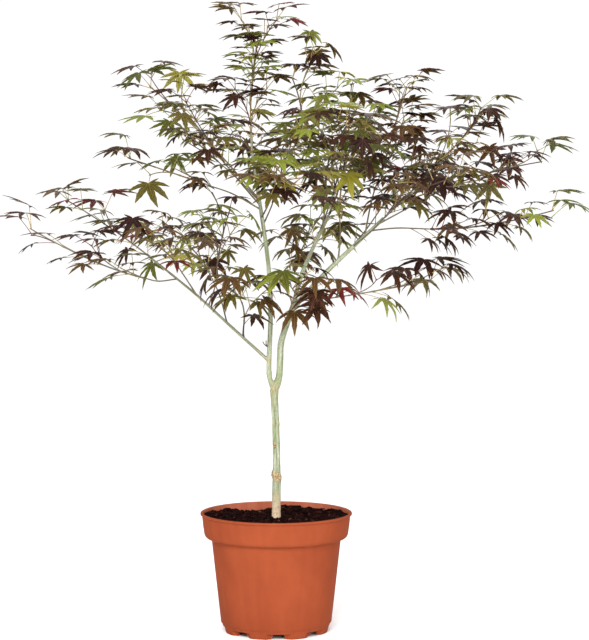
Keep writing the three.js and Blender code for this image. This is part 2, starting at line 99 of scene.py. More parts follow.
def addNoise(nodes, links, scale, detail, roughness=0.5):
    # a noise that follows the piece's own places
    place = nodes.new("ShaderNodeTexCoord")
    texture = addNode(nodes, "ShaderNodeTexNoise", Scale=scale, Detail=detail, Roughness=roughness)
    links.new(place.outputs["Object"], texture.inputs["Vector"])
    return texture.outputs["Fac"]


def addRamp(nodes, links, source, stops):
    # stops: (position, colour)
    ramp = nodes.new("ShaderNodeValToRGB")
    elements = ramp.color_ramp.elements
    while len(elements) < len(stops):
        elements.new(0.5)
    for element, (position, colour) in zip(elements, stops):
        element.position = position
        element.color = colour
    links.new(source, ramp.inputs["Fac"])
    return ramp.outputs["Color"]


def addBump(nodes, links, height, shader, strength, distance):
    bump = nodes.new("ShaderNodeBump")
    bump.inputs["Strength"].default_value = strength
    bump.inputs["Distance"].default_value = distance
    links.new(height, bump.inputs["Height"])
    links.new(bump.outputs["Normal"], shader.inputs["Normal"])
    return bump


def floorMaterial():
    material, nodes, links, shader = startMaterial("pale_floor")
    tone = addRamp(nodes, links, addNoise(nodes, links, 60.0, 3.0), [(0.3, grey(0.96)), (0.7, grey(0.99))])
    links.new(tone, shader.inputs["Base Color"])
    shader.inputs["Roughness"].default_value = 0.9
    return material


floorMesh = bpy.data.meshes.new("studio_floor")
form = bmesh.new()
bmesh.ops.create_circle(form, cap_ends=True, segments=96, radius=studio["floorRadius"])
form.to_mesh(floorMesh)
form.free()
floor = bpy.data.objects.new("studio_floor", floorMesh)
floor.data.materials.append(floorMaterial())
bpy.context.scene.collection.objects.link(floor)

world = bpy.data.worlds.new("studio_sky")
world.use_nodes = True
world.node_tree.nodes["Background"].inputs["Color"].default_value = (*studio["sky"], 1)
world.node_tree.nodes["Background"].inputs["Strength"].default_value = studio["skyStrength"]
bpy.context.scene.world = world
bpy.context.scene.view_settings.view_transform = "Standard"

for lampName, (place, target, width, watts) in studio["lamps"].items():
    light = bpy.data.lights.new("lamp_" + lampName, "AREA")
    light.size = width
    light.energy = watts
    lamp = bpy.data.objects.new("lamp_" + lampName, light)
    lamp.location = place
    lamp.rotation_euler = (Vector(target) - Vector(place)).to_track_quat("-Z", "Y").to_euler()
    bpy.context.scene.collection.objects.link(lamp)


class Dice:
    # Park-Miller numbers, as in the part's own rule
    def __init__(self, seed):
        self.state = seed * 7919
        self.roll()
        self.roll()

    def roll(self):
        self.state = (self.state * 16807) % 2147483647
        return self.state / 2147483647

    def between(self, low, high):
        return low + (high - low) * self.roll()

    def pick(self, weights):
        # one key of a dictionary of weights
        left = self.roll() * sum(weights.values())
        for key, weight in weights.items():
            left -= weight
            if left <= 0:
                return key
        return key


def unit(vector):
    return vector / np.linalg.norm(vector)


class Curve:
    # a curve measured by its own length; place(t) gives its points
    def __init__(self, place, steps=200):
        self.place = place
        self.shares = np.linspace(0, 1, steps + 1)
        points = np.array([place(t) for t in self.shares])
        self.lengths = np.concatenate([[0], np.cumsum(np.linalg.norm(np.diff(points, axis=0), axis=1))])
        self.length = self.lengths[-1]

    def share(self, u):
        return float(np.interp(u * self.length, self.lengths, self.shares))

    def at(self, u):
        return self.place(self.share(u))

    def tangent(self, u):
        t = self.share(u)
        low, high = max(0, t - 1e-4), min(1, t + 1e-4)
        return unit(self.place(high) - self.place(low))


def smoothCurve(points):
    # passes through every point, as a Catmull-Rom curve of tension 0.5 with its ends carried on
    points = np.array(points, float)
    full = np.vstack([2 * points[0] - points[1], points, 2 * points[-1] - points[-2]])
    last = len(points) - 1

    def place(t):
        step = min(int(t * last), last - 1)
        w = t * last - step
        before, start, end, after = full[step:step + 4]
        leave, arrive = 0.5 * (end - before), 0.5 * (after - start)
        return (start + leave * w + (-3 * start + 3 * end - 2 * leave - arrive) * w ** 2
                + (2 * start - 2 * end + leave + arrive) * w ** 3)

    return Curve(place)


def bentCurve(start, bend, tip, steps=200):
    return Curve(lambda t: (1 - t) ** 2 * start + 2 * t * (1 - t) * bend + t ** 2 * tip, steps)


class MeshPile:
    # points and faces of many small shapes, gathered into one mesh
    def __init__(self):
        self.points, self.corners, self.totals, self.slots = [], [], [], []
        self.sharp, self.count = [], 0

    def add(self, points, corners, totals, slots=0, sharp=None):
        self.points.append(np.asarray(points, float))
        self.corners.append(np.asarray(corners, np.int32) + self.count)
        self.totals.append(np.asarray(totals, np.int32))
        self.slots.append(np.broadcast_to(np.asarray(slots, np.int32), len(totals)))
        if sharp is not None:
            self.sharp.append(np.asarray(sharp, np.int64) + self.count)
        self.count += len(points)

    def triangles(self):
        return int(sum((total - 2).sum() for total in self.totals))

    def makeObject(self, name, materials, smooth=True):
        points, corners = np.concatenate(self.points) * mm, np.concatenate(self.corners)
        totals, slots = np.concatenate(self.totals), np.concatenate(self.slots)
        mesh = bpy.data.meshes.new(name)
        mesh.vertices.add(len(points))
        mesh.vertices.foreach_set("co", points.ravel().astype(np.float32))
        mesh.loops.add(len(corners))
        mesh.loops.foreach_set("vertex_index", corners)
        mesh.polygons.add(len(totals))
        starts = np.concatenate([[0], np.cumsum(totals)[:-1]])
        mesh.polygons.foreach_set("loop_start", starts.astype(np.int32))
        for material in materials:
            mesh.materials.append(material)
        mesh.polygons.foreach_set("material_index", slots)
        mesh.polygons.foreach_set("use_smooth", np.full(len(totals), smooth))
        mesh.update(calc_edges=True)
        if self.sharp:
            marked = np.concatenate(self.sharp)
            marked = np.sort(marked, axis=1)
            keys = set((marked[:, 0] * len(points) + marked[:, 1]).tolist())
            ends = np.zeros(len(mesh.edges) * 2, np.int64)
            mesh.edges.foreach_get("vertices", ends)
            ends = np.sort(ends.reshape(-1, 2), axis=1)
            flags = np.isin(ends[:, 0] * len(points) + ends[:, 1], np.array(sorted(keys)))
            mesh.attributes.new("sharp_edge", "BOOLEAN", "EDGE").data.foreach_set("value", flags)
        piece = bpy.data.objects.new(name, mesh)
        bpy.context.scene.collection.objects.link(piece)
        return piece


def makeFrames(points):
    # a pair of directions across a line of points, turned as little as possible from one to the next
    along = np.gradient(points, axis=0)
    along /= np.linalg.norm(along, axis=1, keepdims=True)
    across = np.array([1.0, 0, 0]) if abs(along[0, 0]) < 0.9 else np.array([0, 1.0, 0])
    sides = []
    for way in along:
        across = unit(across - way * across.dot(way))
        sides.append(across)
    sides = np.array(sides)
    return along, sides, np.cross(sides, along)


def tubeShape(points, radii, sides, point=0.0):
    # a closed tube; point draws its tip out to a cone by so many millimetres
    along, across, beside = makeFrames(points)
    turns = np.arange(sides) * 2 * math.pi / sides
    ring = np.cos(turns)[None, :, None] * across[:, None] + np.sin(turns)[None, :, None] * beside[:, None]
    verts = (points[:, None] + ring * np.asarray(radii)[:, None, None]).reshape(-1, 3)
    rows = len(points)
    i, j = np.meshgrid(np.arange(rows - 1), np.arange(sides), indexing="ij")
    nextJ = (j + 1) % sides
    quads = np.stack([i * sides + j, (i + 1) * sides + j, (i + 1) * sides + nextJ, i * sides + nextJ], -1)
    heads = np.vstack([points[0], points[-1] + along[-1] * point])
    verts = np.vstack([verts, heads])
    foot, tip = rows * sides, rows * sides + 1
    k = np.arange(sides)
    base = np.stack([np.full(sides, foot), k, (k + 1) % sides], -1)
    end = np.stack([np.full(sides, tip), (rows - 1) * sides + (k + 1) % sides, (rows - 1) * sides + k], -1)
    corners = np.concatenate([quads.reshape(-1), base.reshape(-1), end.reshape(-1)])
    totals = np.concatenate([np.full((rows - 1) * sides, 4), np.full(2 * sides, 3)])
    return verts, corners, totals


def finished(piece, nodes=()):
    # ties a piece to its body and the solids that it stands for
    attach(piece, "root")
    if nodes:
        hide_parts(*nodes)
    return piece


def applyModifiers(piece):
    graph = bpy.context.evaluated_depsgraph_get()
    baked = bpy.data.meshes.new_from_object(piece.evaluated_get(graph))
    piece.modifiers.clear()
    old, piece.data = piece.data, baked
    bpy.data.meshes.remove(old)


print("stage: pot")

potForm = {
    "height": 150, "wall": 1.7, "lip": 1.7,
    "footRadius": 65.6, "bodyFoot": 69.8, "bodyTop": 81.5,
    "shoulder": 118, "bandFoot": 90.5, "bandTop": 93.7,
    "floorUnder": 6.4, "floorTop": 8.4, "pad": 15,
    "segments": 240,
    "notches": 8, "notchTurn": 2.9, "notchFoot": 20, "notchWidth": 12, "notchHeight": 6.5, "notchSoft": 1.2,
    "coveReach": 16, "coveRise": 7, "coveDepth": 4.4,  # the scoop that each notch lies in
    "hole": 4.5, "holeRing": 50,
}


def potProfile():
    # radius and height, from the middle of the underside round to the middle of the floor
    f = potForm
    top, lip, wall = f["height"], f["lip"], f["wall"]
    foot = f["footRadius"]
    outside = [
        (foot - 0.3, 0), (foot, 0.3), (foot + 0.7, 3), (foot + 1.4, 5.9), (foot + 1.65, 6.9),
        (foot + 1.8, 7.3), (foot + 2.4, 9.4), (foot + 2.8, 10.2),
        (f["bodyFoot"] - 0.6, 11.2), (f["bodyFoot"], 12.0),
        (75.7, 64.5), (f["bodyTop"] - 0.2, 115.6), (f["bodyTop"] + 0.1, 116.6), (f["bodyTop"] + 1.0, 117.4),
        (f["bandFoot"] - 5.0, f["shoulder"] + 0.1), (f["bandFoot"] - 2.8, f["shoulder"] + 1.0),
        (f["bandFoot"] - 1.2, f["shoulder"] + 2.4), (f["bandFoot"] - 0.3, f["shoulder"] + 4.2),
        (f["bandFoot"] + 0.2, f["shoulder"] + 6.2), (92.0, 133), (93.3, 145.6), (93.5, 146.5),
        (94.0, 147.0),
        (f["bandTop"] + lip - 0.4, 147.3), (f["bandTop"] + lip, 147.8), (f["bandTop"] + lip, 149.1),
        (f["bandTop"] + lip - 0.3, 149.6), (f["bandTop"] + lip - 1, top),
    ]
    inside = [
        (f["bandTop"] - wall + 0.5, top), (f["bandTop"] - wall, top - 0.5), (91.1, 140), (90.3, 132),
        (f["bandFoot"] - wall, f["shoulder"] + 6), (f["bandFoot"] - wall - 2, f["shoulder"] + 2.9),
        (f["bodyTop"] - wall, f["shoulder"] + 1.6), (f["bodyTop"] - wall - 0.3, 114),
        (74.0, 64.5), (foot + 2.6 - wall, f["floorTop"]), (0, f["floorTop"]),
    ]
    underside = [(0, 0), (f["pad"] - 0.4, 0), (f["pad"], 0.4), (f["pad"], f["floorUnder"]),
                 (foot - wall, f["floorUnder"]), (foot - wall, 3), (foot - wall, 0.3),
                 (foot - wall + 0.3, 0)]
    return underside + outside + inside, len(underside) + len(outside)


def latheFaces(rows, segments):
    # the faces of a closed lathe, whose first and last rows close on the two points after them
    i, j = np.meshgrid(np.arange(rows - 1), np.arange(segments), indexing="ij")
    nextJ = (j + 1) % segments
    quads = np.stack([i * segments + j, i * segments + nextJ, (i + 1) * segments + nextJ,
                      (i + 1) * segments + j], -1)
    k = np.arange(segments)
    nextK, last = (k + 1) % segments, (rows - 1) * segments
    low = np.stack([np.full(segments, rows * segments), nextK, k], -1)
    high = np.stack([np.full(segments, rows * segments + 1), last + k, last + nextK], -1)
    corners = np.concatenate([quads.reshape(-1), low.reshape(-1), high.reshape(-1)])
    totals = np.concatenate([np.full((rows - 1) * segments, 4), np.full(2 * segments, 3)])
    return corners, totals


def latheShape(profile, segments):
    # a closed lathe; the profile starts and ends on the axis
    rows = np.array([point for point in profile if point[0] > 0])
    turns = np.arange(segments) * 2 * math.pi / segments
    verts = np.stack([rows[:, :1] * np.cos(turns), rows[:, :1] * np.sin(turns),
                      np.repeat(rows[:, 1:], segments, axis=1)], -1).reshape(-1, 3)
    verts = np.vstack([verts, [0, 0, profile[0][1]], [0, 0, profile[-1][1]]])
    return verts, *latheFaces(len(rows), segments)


def turnBy(angle):
    # turns rows of points about the upright axis
    cos, sin = math.cos(angle), math.sin(angle)
    return np.array([[cos, sin, 0], [-sin, cos, 0], [0, 0, 1]])


# dark, middle and light tone of the outside, and of the inside: the same plastic made lighter, painted
# light on the inner wall
potLooks = {
    "terracotta_plastic": [(128, 59, 36), (134, 63, 38), (140, 67, 41)],
    "painted_light_inside": [(146, 78, 56), (156, 86, 64), (168, 100, 80)],
}


def potMaterial(name):
    # moulded terracotta plastic: a faint cloud of pigment, long streaks and fine grain
    look = potLooks[name]
    material, nodes, links, shader = startMaterial(name)
    place = nodes.new("ShaderNodeTexCoord")
    cloud = addNode(nodes, "ShaderNodeTexNoise", Scale=16.0, Detail=4.0, Roughness=0.6)
    streakMap = nodes.new("ShaderNodeMapping")
    streakMap.inputs["Scale"].default_value = (110, 110, 7)
    streak = addNode(nodes, "ShaderNodeTexNoise", Scale=1.0, Detail=3.0, Roughness=0.55)
    grain = addNode(nodes, "ShaderNodeTexNoise", Scale=1500.0, Detail=2.0)
    for target in (cloud, grain, streakMap):
        links.new(place.outputs["Object"], target.inputs["Vector"])
    links.new(streakMap.outputs["Vector"], streak.inputs["Vector"])
    blendNode = addNode(nodes, "ShaderNodeMath", operation="MULTIPLY_ADD")
    links.new(cloud.outputs["Fac"], blendNode.inputs[0])
    blendNode.inputs[1].default_value = 0.65
    scaled = addNode(nodes, "ShaderNodeMath", operation="MULTIPLY")
    links.new(streak.outputs["Fac"], scaled.inputs[0])
    scaled.inputs[1].default_value = 0.35
    links.new(scaled.outputs[0], blendNode.inputs[2])
    tone = addRamp(nodes, links, blendNode.outputs[0],
                   [(0.36, srgb(*look[0])), (0.5, srgb(*look[1])), (0.66, srgb(*look[2]))])
    links.new(tone, shader.inputs["Base Color"])
    gloss = addRamp(nodes, links, blendNode.outputs[0], [(0.3, grey(0.54)), (0.7, grey(0.66))])
    links.new(gloss, shader.inputs["Roughness"])
    shader.inputs["Specular IOR Level"].default_value = 0.01
    addBump(nodes, links, grain.outputs["Fac"], shader, 0.18, 0.00012)
    return material


def scoopFoot(points):
    # presses the foot ring inwards on both sides of every notch
    f = potForm
    turns = np.arctan2(points[:, 1], points[:, 0]) + math.pi / 2 - math.radians(f["notchTurn"])
    step = 2 * math.pi / f["notches"]
    away = np.abs((turns + step / 2) % step - step / 2) * f["footRadius"]
    side = np.clip((f["coveReach"] - away) / 6.5, 0, 1)
    rise = np.clip((f["coveRise"] - points[:, 2]) / 1.0, 0, 1)
    radius = np.hypot(points[:, 0], points[:, 1])
    ring = np.clip((radius - f["pad"] - 40) / 4, 0, 1)
    push = f["coveDepth"] * side * side * (3 - 2 * side) * rise * ring
    points[:, :2] *= (1 - push / np.maximum(radius, 1))[:, None]
    return points


def makePot():
    # the lathed shell, with its notches and drain holes cut out
    pile = MeshPile()
    profile, firstInside = potProfile()
    points, corners, totals = latheShape(profile, potForm["segments"])
    rows = np.arange(len(totals)) // potForm["segments"]
    # the inside rows take the lighter copy of the plastic, painted light on the inner wall
    pile.add(scoopFoot(points), corners, totals, (rows > firstInside - 2).astype(int))
    pot = pile.makeObject("terracotta_pot", [potMaterial(name) for name in potLooks])
    cutters = MeshPile()
    for i in range(potForm["notches"]):
        angle = -math.pi / 2 + math.radians(potForm["notchTurn"]) + i * 2 * math.pi / potForm["notches"]
        turn = turnBy(angle)
        half, low = potForm["notchWidth"] / 2, potForm["notchFoot"] / 2
        high, soft = potForm["notchHeight"], potForm["notchSoft"]
        arch = [(-low, -1), (low, -1), (half + 0.5, high - soft)]
        arch += [(half - soft + soft * math.cos(a), high - soft + soft * math.sin(a))
                 for a in (0.52, 1.05, 1.57)]
        arch += [(-half + soft - soft * math.sin(a), high - soft + soft * math.cos(a))
                 for a in (0.0, 0.52, 1.05)]
        arch += [(-half - 0.5, high - soft)]
        count = len(arch)
        near = [(potForm["footRadius"] - 9, y, z) for y, z in arch]
        far = [(potForm["footRadius"] + 6, y, z) for y, z in arch]
        corners = list(range(count))[::-1] + list(range(count, 2 * count))
        totals = [count, count]
        for k in range(count):
            nextK = (k + 1) % count
            corners += [k, nextK, count + nextK, count + k]
            totals.append(4)
        cutters.add(np.array(near + far) @ turn, corners, totals)
        holePoints = np.array([[potForm["holeRing"], 0, 4], [potForm["holeRing"], 0, 11]], float)
        verts, holeCorners, holeTotals = tubeShape(holePoints, [potForm["hole"]] * 2, 24)
        cutters.add(verts @ turn, holeCorners, holeTotals)
    cutter = cutters.makeObject("pot_cutter", [])
    bm = bmesh.new()
    bm.from_mesh(cutter.data)
    bmesh.ops.recalc_face_normals(bm, faces=bm.faces)
    bm.to_mesh(cutter.data)
    bm.free()
    cut = pot.modifiers.new("notches", "BOOLEAN")
    cut.object = cutter
    cut.solver = "EXACT"
    applyModifiers(pot)
    bpy.data.objects.remove(cutter)
    mesh = pot.data
    mesh.polygons.foreach_set("use_smooth", np.full(len(mesh.polygons), True))
    bm = bmesh.new()
    bm.from_mesh(mesh)
    for edge in bm.edges:
        edge.smooth = len(edge.link_faces) == 2 and edge.calc_face_angle(0) < math.radians(34)
    bm.to_mesh(mesh)
    bm.free()
    finished(pot, ["pot"])
    print("  pot faces", len(mesh.polygons))


makePot()

print("stage: compost")

compostForm = {
    "level": 142.8, "bottom": 8.7, "edge": 90.9,
    # radius and height up the inside of the pot
    "wall": [(65.5, 8.7), (73.6, 64.5), (79.0, 114), (79.3, 119.9), (88.0, 124.6), (89.8, 132)],
    # x, y, height and width of each heap or hollow
    "heaps": [(-86, 4, 3.8, 26), (88, -2, 3.6, 24), (-70, 50, 1.6, 20), (-32, 84, -5.8, 22),
              (18, 84, 2.4, 17), (80, 42, 4.2, 14), (52, 72, 0.8, 14), (0, -84, 1.2, 40)],
    "rings": 46, "segments": 150,
    "lump": 2.4, "crumbs": 2600, "crumbSize": (0.9, 4.0), "seed": 41, "chips": 0.02,
    "crumbReach": 89, "bare": 7,  # crumbs lie out to the first radius and in to the second
}


def compostHeight(x, y):
    # the bed's surface, in millimetres
    c = compostForm
    radius = math.hypot(x, y)
    base = c["level"] + sum(high * math.exp(-((x - hx) ** 2 + (y - hy) ** 2) / wide ** 2)
                            for hx, hy, high, wide in c["heaps"])
    soft = noise.noise(Vector((x * 0.045, y * 0.045, 3.1)))
    small = noise.noise(Vector((x * 0.17, y * 0.17, 8.7)))
    fine = noise.noise(Vector((x * 0.5, y * 0.5, 1.7)))
    seat = min(1, max(0, (radius - 5) / 10))
    return base + seat * c["lump"] * (0.6 * soft + 0.75 * small + 0.3 * fine)


def compostMaterial():
    material, nodes, links, shader = startMaterial("dark_compost")
    place = nodes.new("ShaderNodeTexCoord")
    patch = addNode(nodes, "ShaderNodeTexNoise", Scale=90.0, Detail=5.0, Roughness=0.65)
    bits = addNode(nodes, "ShaderNodeTexVoronoi", Scale=420.0, Randomness=1.0)
    for target in (patch, bits):
        links.new(place.outputs["Object"], target.inputs["Vector"])
    tone = addRamp(nodes, links, patch.outputs["Fac"],
                   [(0.34, srgb(10, 2, 2)), (0.5, srgb(20, 5, 4)), (0.62, srgb(38, 15, 10)),
                    (0.74, srgb(74, 42, 31))])
    links.new(tone, shader.inputs["Base Color"])
    shader.inputs["Roughness"].default_value = 0.95
    shader.inputs["Specular IOR Level"].default_value = 0.03
    addBump(nodes, links, bits.outputs["Distance"], shader, 0.9, 0.001)
    return material


def chipMaterial():
    # paler chips of bark among the crumbs
    material, nodes, links, shader = startMaterial("bark_chips")
    patch = addNoise(nodes, links, 300.0, 4.0, 0.6)
    tone = addRamp(nodes, links, patch, [(0.36, srgb(44, 22, 15)), (0.62, srgb(86, 52, 38))])
    links.new(tone, shader.inputs["Base Color"])
    shader.inputs["Roughness"].default_value = 0.9
    shader.inputs["Specular IOR Level"].default_value = 0.05
    return material


def makeCompost():
    # the bed, from the pot's floor to the lumpy surface, and the crumbs on it
    c = compostForm
    segments, rings = c["segments"], c["rings"]
    turns = np.arange(segments) * 2 * math.pi / segments
    points = [(r * math.cos(a), r * math.sin(a), z) for r, z in c["wall"] for a in turns]
    for i in range(rings):
        r = c["edge"] * (1 - i / rings)
        points += [(r * math.cos(a), r * math.sin(a), compostHeight(r * math.cos(a), r * math.sin(a)))
                   for a in turns]
    points += [(0, 0, c["bottom"]), (0, 0, compostHeight(0, 0))]
    bed = MeshPile()
    bed.add(points, *latheFaces(len(c["wall"]) + rings, segments))
    material = compostMaterial()
    finished(bed.makeObject("compost_bed", [material]), ["compost"])

    # loose crumbs and chips of bark, half sunk in the bed
    rng = np.random.default_rng(c["seed"])
    form = bmesh.new()
    bmesh.ops.create_icosphere(form, subdivisions=1, radius=1)
    ball = np.array([v.co for v in form.verts])
    ballFaces = np.array([[v.index for v in f.verts] for f in form.faces])
    form.free()
    crumbs = MeshPile()
    for _ in range(c["crumbs"]):
        radius = c["crumbReach"] * math.sqrt(rng.random())
        angle = rng.random() * 2 * math.pi
        x, y = radius * math.cos(angle), radius * math.sin(angle)
        if radius < c["bare"]:
            continue
        size = c["crumbSize"][0] + (c["crumbSize"][1] - c["crumbSize"][0]) * rng.random() ** 2.2
        stretch = size * np.array([1, rng.uniform(0.5, 0.9), rng.uniform(0.35, 0.75)])
        knobs = ball * (1 + rng.uniform(-0.28, 0.28, (len(ball), 1))) * stretch
        a, b = rng.uniform(0, 2 * math.pi), rng.uniform(-0.5, 0.5)
        tilt = np.array([[1, 0, 0], [0, math.cos(b), math.sin(b)], [0, -math.sin(b), math.cos(b)]])
        place = np.array([x, y, compostHeight(x, y) + 0.12 * size])
        chip = 1 if rng.random() < c["chips"] else 0
        knobs = knobs @ tilt @ turnBy(a) + place
        crumbs.add(knobs, ballFaces.reshape(-1), np.full(len(ballFaces), 3), chip)
    finished(crumbs.makeObject("compost_crumbs", [material, chipMaterial()], smooth=False))
    print("  compost triangles", bed.triangles(), crumbs.triangles())


makeCompost()

print("stage: trunk and boughs")

# each limb leaves its carrier at a share of its length; thick is its radius at root and tip
limbTable = [
    {"name": "trunk", "root": (0, 0, 142.9), "via": [(0.4, 0, 224)],
     "tip": (-2.5, 0, 305), "thick": (5.2, 4.4), "flare": (0.4, 1.3)},
    {"name": "leader", "on": "trunk", "at": 1, "via": [(-9, 0, 328), (-7, 1, 397), (-10, 2, 464)],
     "tip": (-22, 4, 550), "thick": (3.2, 2.3)},
    {"name": "leader_top", "on": "leader", "at": 1, "via": [(-29, 3, 595)],
     "tip": (-31, 1, 626), "thick": (2.1, 1.5)},
    {"name": "right_stem", "on": "trunk", "at": 1, "via": [(3.6, 0, 320), (5, 0, 343), (7, 0, 367)],
     "tip": (21, -1, 409), "thick": (4.3, 3.6)},
    {"name": "right_inner", "on": "right_stem", "at": 1, "via": [(35, 6, 457)],
     "tip": (66, 14, 523), "thick": (2.9, 2)},
    {"name": "right_outer", "on": "right_stem", "at": 0.97, "via": [(64, -8, 454)],
     "tip": (134, -14, 520), "thick": (3.3, 2.1)},
    {"name": "left_low", "on": "leader", "at": 0.15, "via": [(-60, -8, 388), (-101, -12, 426)],
     "tip": (-157, -16, 472), "thick": (2.05, 1.2)},
    {"name": "left_side", "on": "left_low", "at": 0.78, "via": [(-146, -20, 442)],
     "tip": (-162, -27, 446), "thick": (1.3, 1.1)},
    {"name": "left_rise", "on": "left_low", "at": 0.52, "via": [(-76, 2, 436)],
     "tip": (-74, 6, 458), "thick": (1.4, 1.1)},
    {"name": "left_back", "on": "left_low", "at": 0.36, "via": [(-72, 32, 422)],
     "tip": (-86, 66, 448), "thick": (1.4, 1.1)},
    {"name": "left_front", "on": "left_low", "at": 0.62, "via": [(-112, -40, 448)],
     "tip": (-122, -66, 466), "thick": (1.4, 1.1)},
    {"name": "low_twig", "on": "left_low", "at": 0.22, "via": [(-41, -6, 378)],
     "tip": (-40, -10, 390), "thick": (1.8, 1.4), "dark": 1},
    {"name": "right_low", "on": "right_outer", "at": 0.86, "via": [(150, -22, 508)],
     "tip": (190, -26, 507), "thick": (1.5, 1.1)},
    {"name": "right_twig", "on": "right_stem", "at": 0.93, "via": [(42, -16, 417)],
     "tip": (66, -26, 421), "thick": (1.2, 0.9)},
    {"name": "right_rise", "on": "right_outer", "at": 0.52, "via": [(80, -12, 497)],
     "tip": (79, -16, 524), "thick": (1.6, 1.2)},
    {"name": "front_twig", "on": "right_stem", "at": 0.8, "via": [(15, -14, 397)],
     "tip": (16, -24, 402), "thick": (1.1, 0.9)},
    {"name": "centre_back", "on": "leader", "at": 0.5, "via": [(4, 26, 446)],
     "tip": (20, 50, 462), "thick": (1.4, 1.1)},
    {"name": "inner_back", "on": "right_inner", "at": 0.66, "via": [(62, 48, 520)],
     "tip": (72, 84, 548), "thick": (1.6, 1.2)},
    {"name": "inner_front", "on": "right_inner", "at": 0.84, "via": [(62, -22, 542)],
     "tip": (62, -54, 568), "thick": (1.5, 1.1)},
    {"name": "outer_high", "on": "right_outer", "at": 0.8, "via": [(120, 6, 544)],
     "tip": (132, 16, 578), "thick": (1.6, 1.2)},
    {"name": "outer_right", "on": "right_outer", "at": 0.92, "via": [(160, -4, 530)],
     "tip": (194, 6, 548), "thick": (1.5, 1.1)},
    {"name": "outer_front", "on": "right_outer", "at": 0.68, "via": [(120, -52, 508)],
     "tip": (140, -90, 532), "thick": (1.5, 1.1)},
    {"name": "outer_back", "on": "right_outer", "at": 0.62, "via": [(112, 40, 502)],
     "tip": (134, 84, 530), "thick": (1.5, 1.1)},
    {"name": "whorl_left_high", "on": "leader", "at": 0.97, "via": [(-48, 10, 574)],
     "tip": (-78, 14, 608), "thick": (1.7, 1.3)},
    {"name": "whorl_left", "on": "leader", "at": 0.92, "via": [(-54, -4, 550)],
     "tip": (-88, -6, 562), "thick": (1.5, 1.1)},
    {"name": "whorl_left_front", "on": "leader", "at": 0.96, "via": [(-44, -30, 566)],
     "tip": (-70, -56, 590), "thick": (1.5, 1.1)},
    {"name": "whorl_left_back", "on": "leader", "at": 0.94, "via": [(-44, 38, 562)],
     "tip": (-66, 70, 588), "thick": (1.5, 1.1)},
    {"name": "whorl_right", "on": "leader", "at": 0.99, "via": [(0, -8, 578)],
     "tip": (22, -12, 608), "thick": (1.6, 1.2)},
    {"name": "whorl_front", "on": "leader", "at": 0.88, "via": [(-8, -36, 540)],
     "tip": (0, -70, 558), "thick": (1.5, 1.1)},
    {"name": "leader_back", "on": "leader", "at": 0.84, "via": [(-6, 40, 534)],
     "tip": (2, 76, 558), "thick": (1.5, 1.1)},
]
mainLimbs = ["trunk", "leader", "leader_top", "right_stem", "right_inner", "right_outer", "left_low"]

limbs = {}
for row in limbTable:
    start = limbs[row["on"]]["curve"].at(row["at"]) if "on" in row else np.array(row["root"], float)
    limbs[row["name"]] = {
        **row,
        "curve": smoothCurve([start, *row["via"], row["tip"]]),
        "flare": row.get("flare", (0, 0)),
    }


def limbRadius(limb, t):
    root, tip = limb["thick"]
    return root + (tip - root) * t + limb["flare"][0] * (1 - t) ** 8 + limb["flare"][1] * t ** 14


barkForm = {
    "ring": 2.4, "fineRing": 0.8, "sideRing": 0.9,  # from ring to ring: fused tubes, relief, side boughs
    "voxel": 0.56,
    "smoothing": 6,
    "sunk": 4.5,  # how far the trunk goes down into the compost
    "collar": (0.28, 1.6), "sideCollar": (0.4, 1.5),  # swelling of a limb's root, and its reach
    "nodeGap": (34, 62),  # between two pairs of old buds
    "nodeSwell": 0.16, "nodeWidth": 2.2, "budSwell": 0.5, "ringScar": 0.3,
    "ridge": 0.17, "ridgeAround": 3.4, "ridgeAlong": 0.045,  # long fine ridges
    "lump": 0.26,
    # knots of the trunk: height, angle round it (a quarter turn is the front), swelling, width, scar
    "knots": [(195.5, 1.5, 0.6, 5.2, 0.9), (198, 3.0, 1.5, 4.0, 0.7), (193, 0.15, 1.3, 3.6, 0.8),
              (195, -1.5, 0.6, 4.6, 0.6), (237.5, 2.05, 1.9, 2.2, 0.35), (234, 2.15, 0.5, 2.8, 0.95),
              (262, 0.5, 0.5, 3.2, 0.2), (287, 2.2, 0.5, 3.0, 0.3)],
    "belowKnot": 0.35,  # the trunk is so much thicker under its big knot
    "joint": 0.6, "jointReach": 1.6,  # browner skin where limbs part
    "freshSkin": 0.85, "freshTop": 182, "freshReach": 30,  # creamy skin at the trunk's foot, up to here
    "youngBelow": 2.6, "youngReach": 1.2, "youngMost": 0.7,  # browner skin on limbs under this radius
    "slimSides": 0.66,  # the thin boughs are so much slimmer than their solids
    "seed": 27,
}


barkLooks = {
    "pale_bark": {"tones": [(80, 85, 66), (126, 133, 107), (151, 157, 132), (178, 180, 160)],
                  "moss": (116, 128, 82), "speck": (92, 90, 66), "specks": 0.62, "fresh": (200, 172, 146),
                  "young": (104, 96, 76), "crack": (76, 54, 34), "scar": (178, 148, 106)},
    "side_bark": {"tones": [(70, 60, 48), (102, 92, 70), (126, 118, 94), (142, 136, 112)],
                  "moss": (98, 96, 62), "speck": (66, 52, 42), "specks": 0.5, "fresh": (150, 140, 110),
                  "young": (62, 46, 38), "crack": (60, 40, 32), "scar": (120, 92, 66)},
}


def sampleLimb(limb, step):
    # shares of the length, points and radii along a limb, from its root to its tip
    rings = max(4, round(limb["curve"].length / step))
    shares = np.linspace(0, 1, rings + 1)
    points = np.array([limb["curve"].at(t) for t in shares])
    radii = np.array([limbRadius(limb, t) for t in shares])
    return shares, points, radii


def collarAt(limb, shares, thick, collar):
    # the soft swelling of a limb's root, which fades outside its carrier
    swelling, fade = collar
    reach = limbRadius(limbs[limb["on"]], limb["at"])
    far = shares * limb["curve"].length
    return swelling * thick * np.exp(-np.maximum(0, far - reach) / (fade * thick))


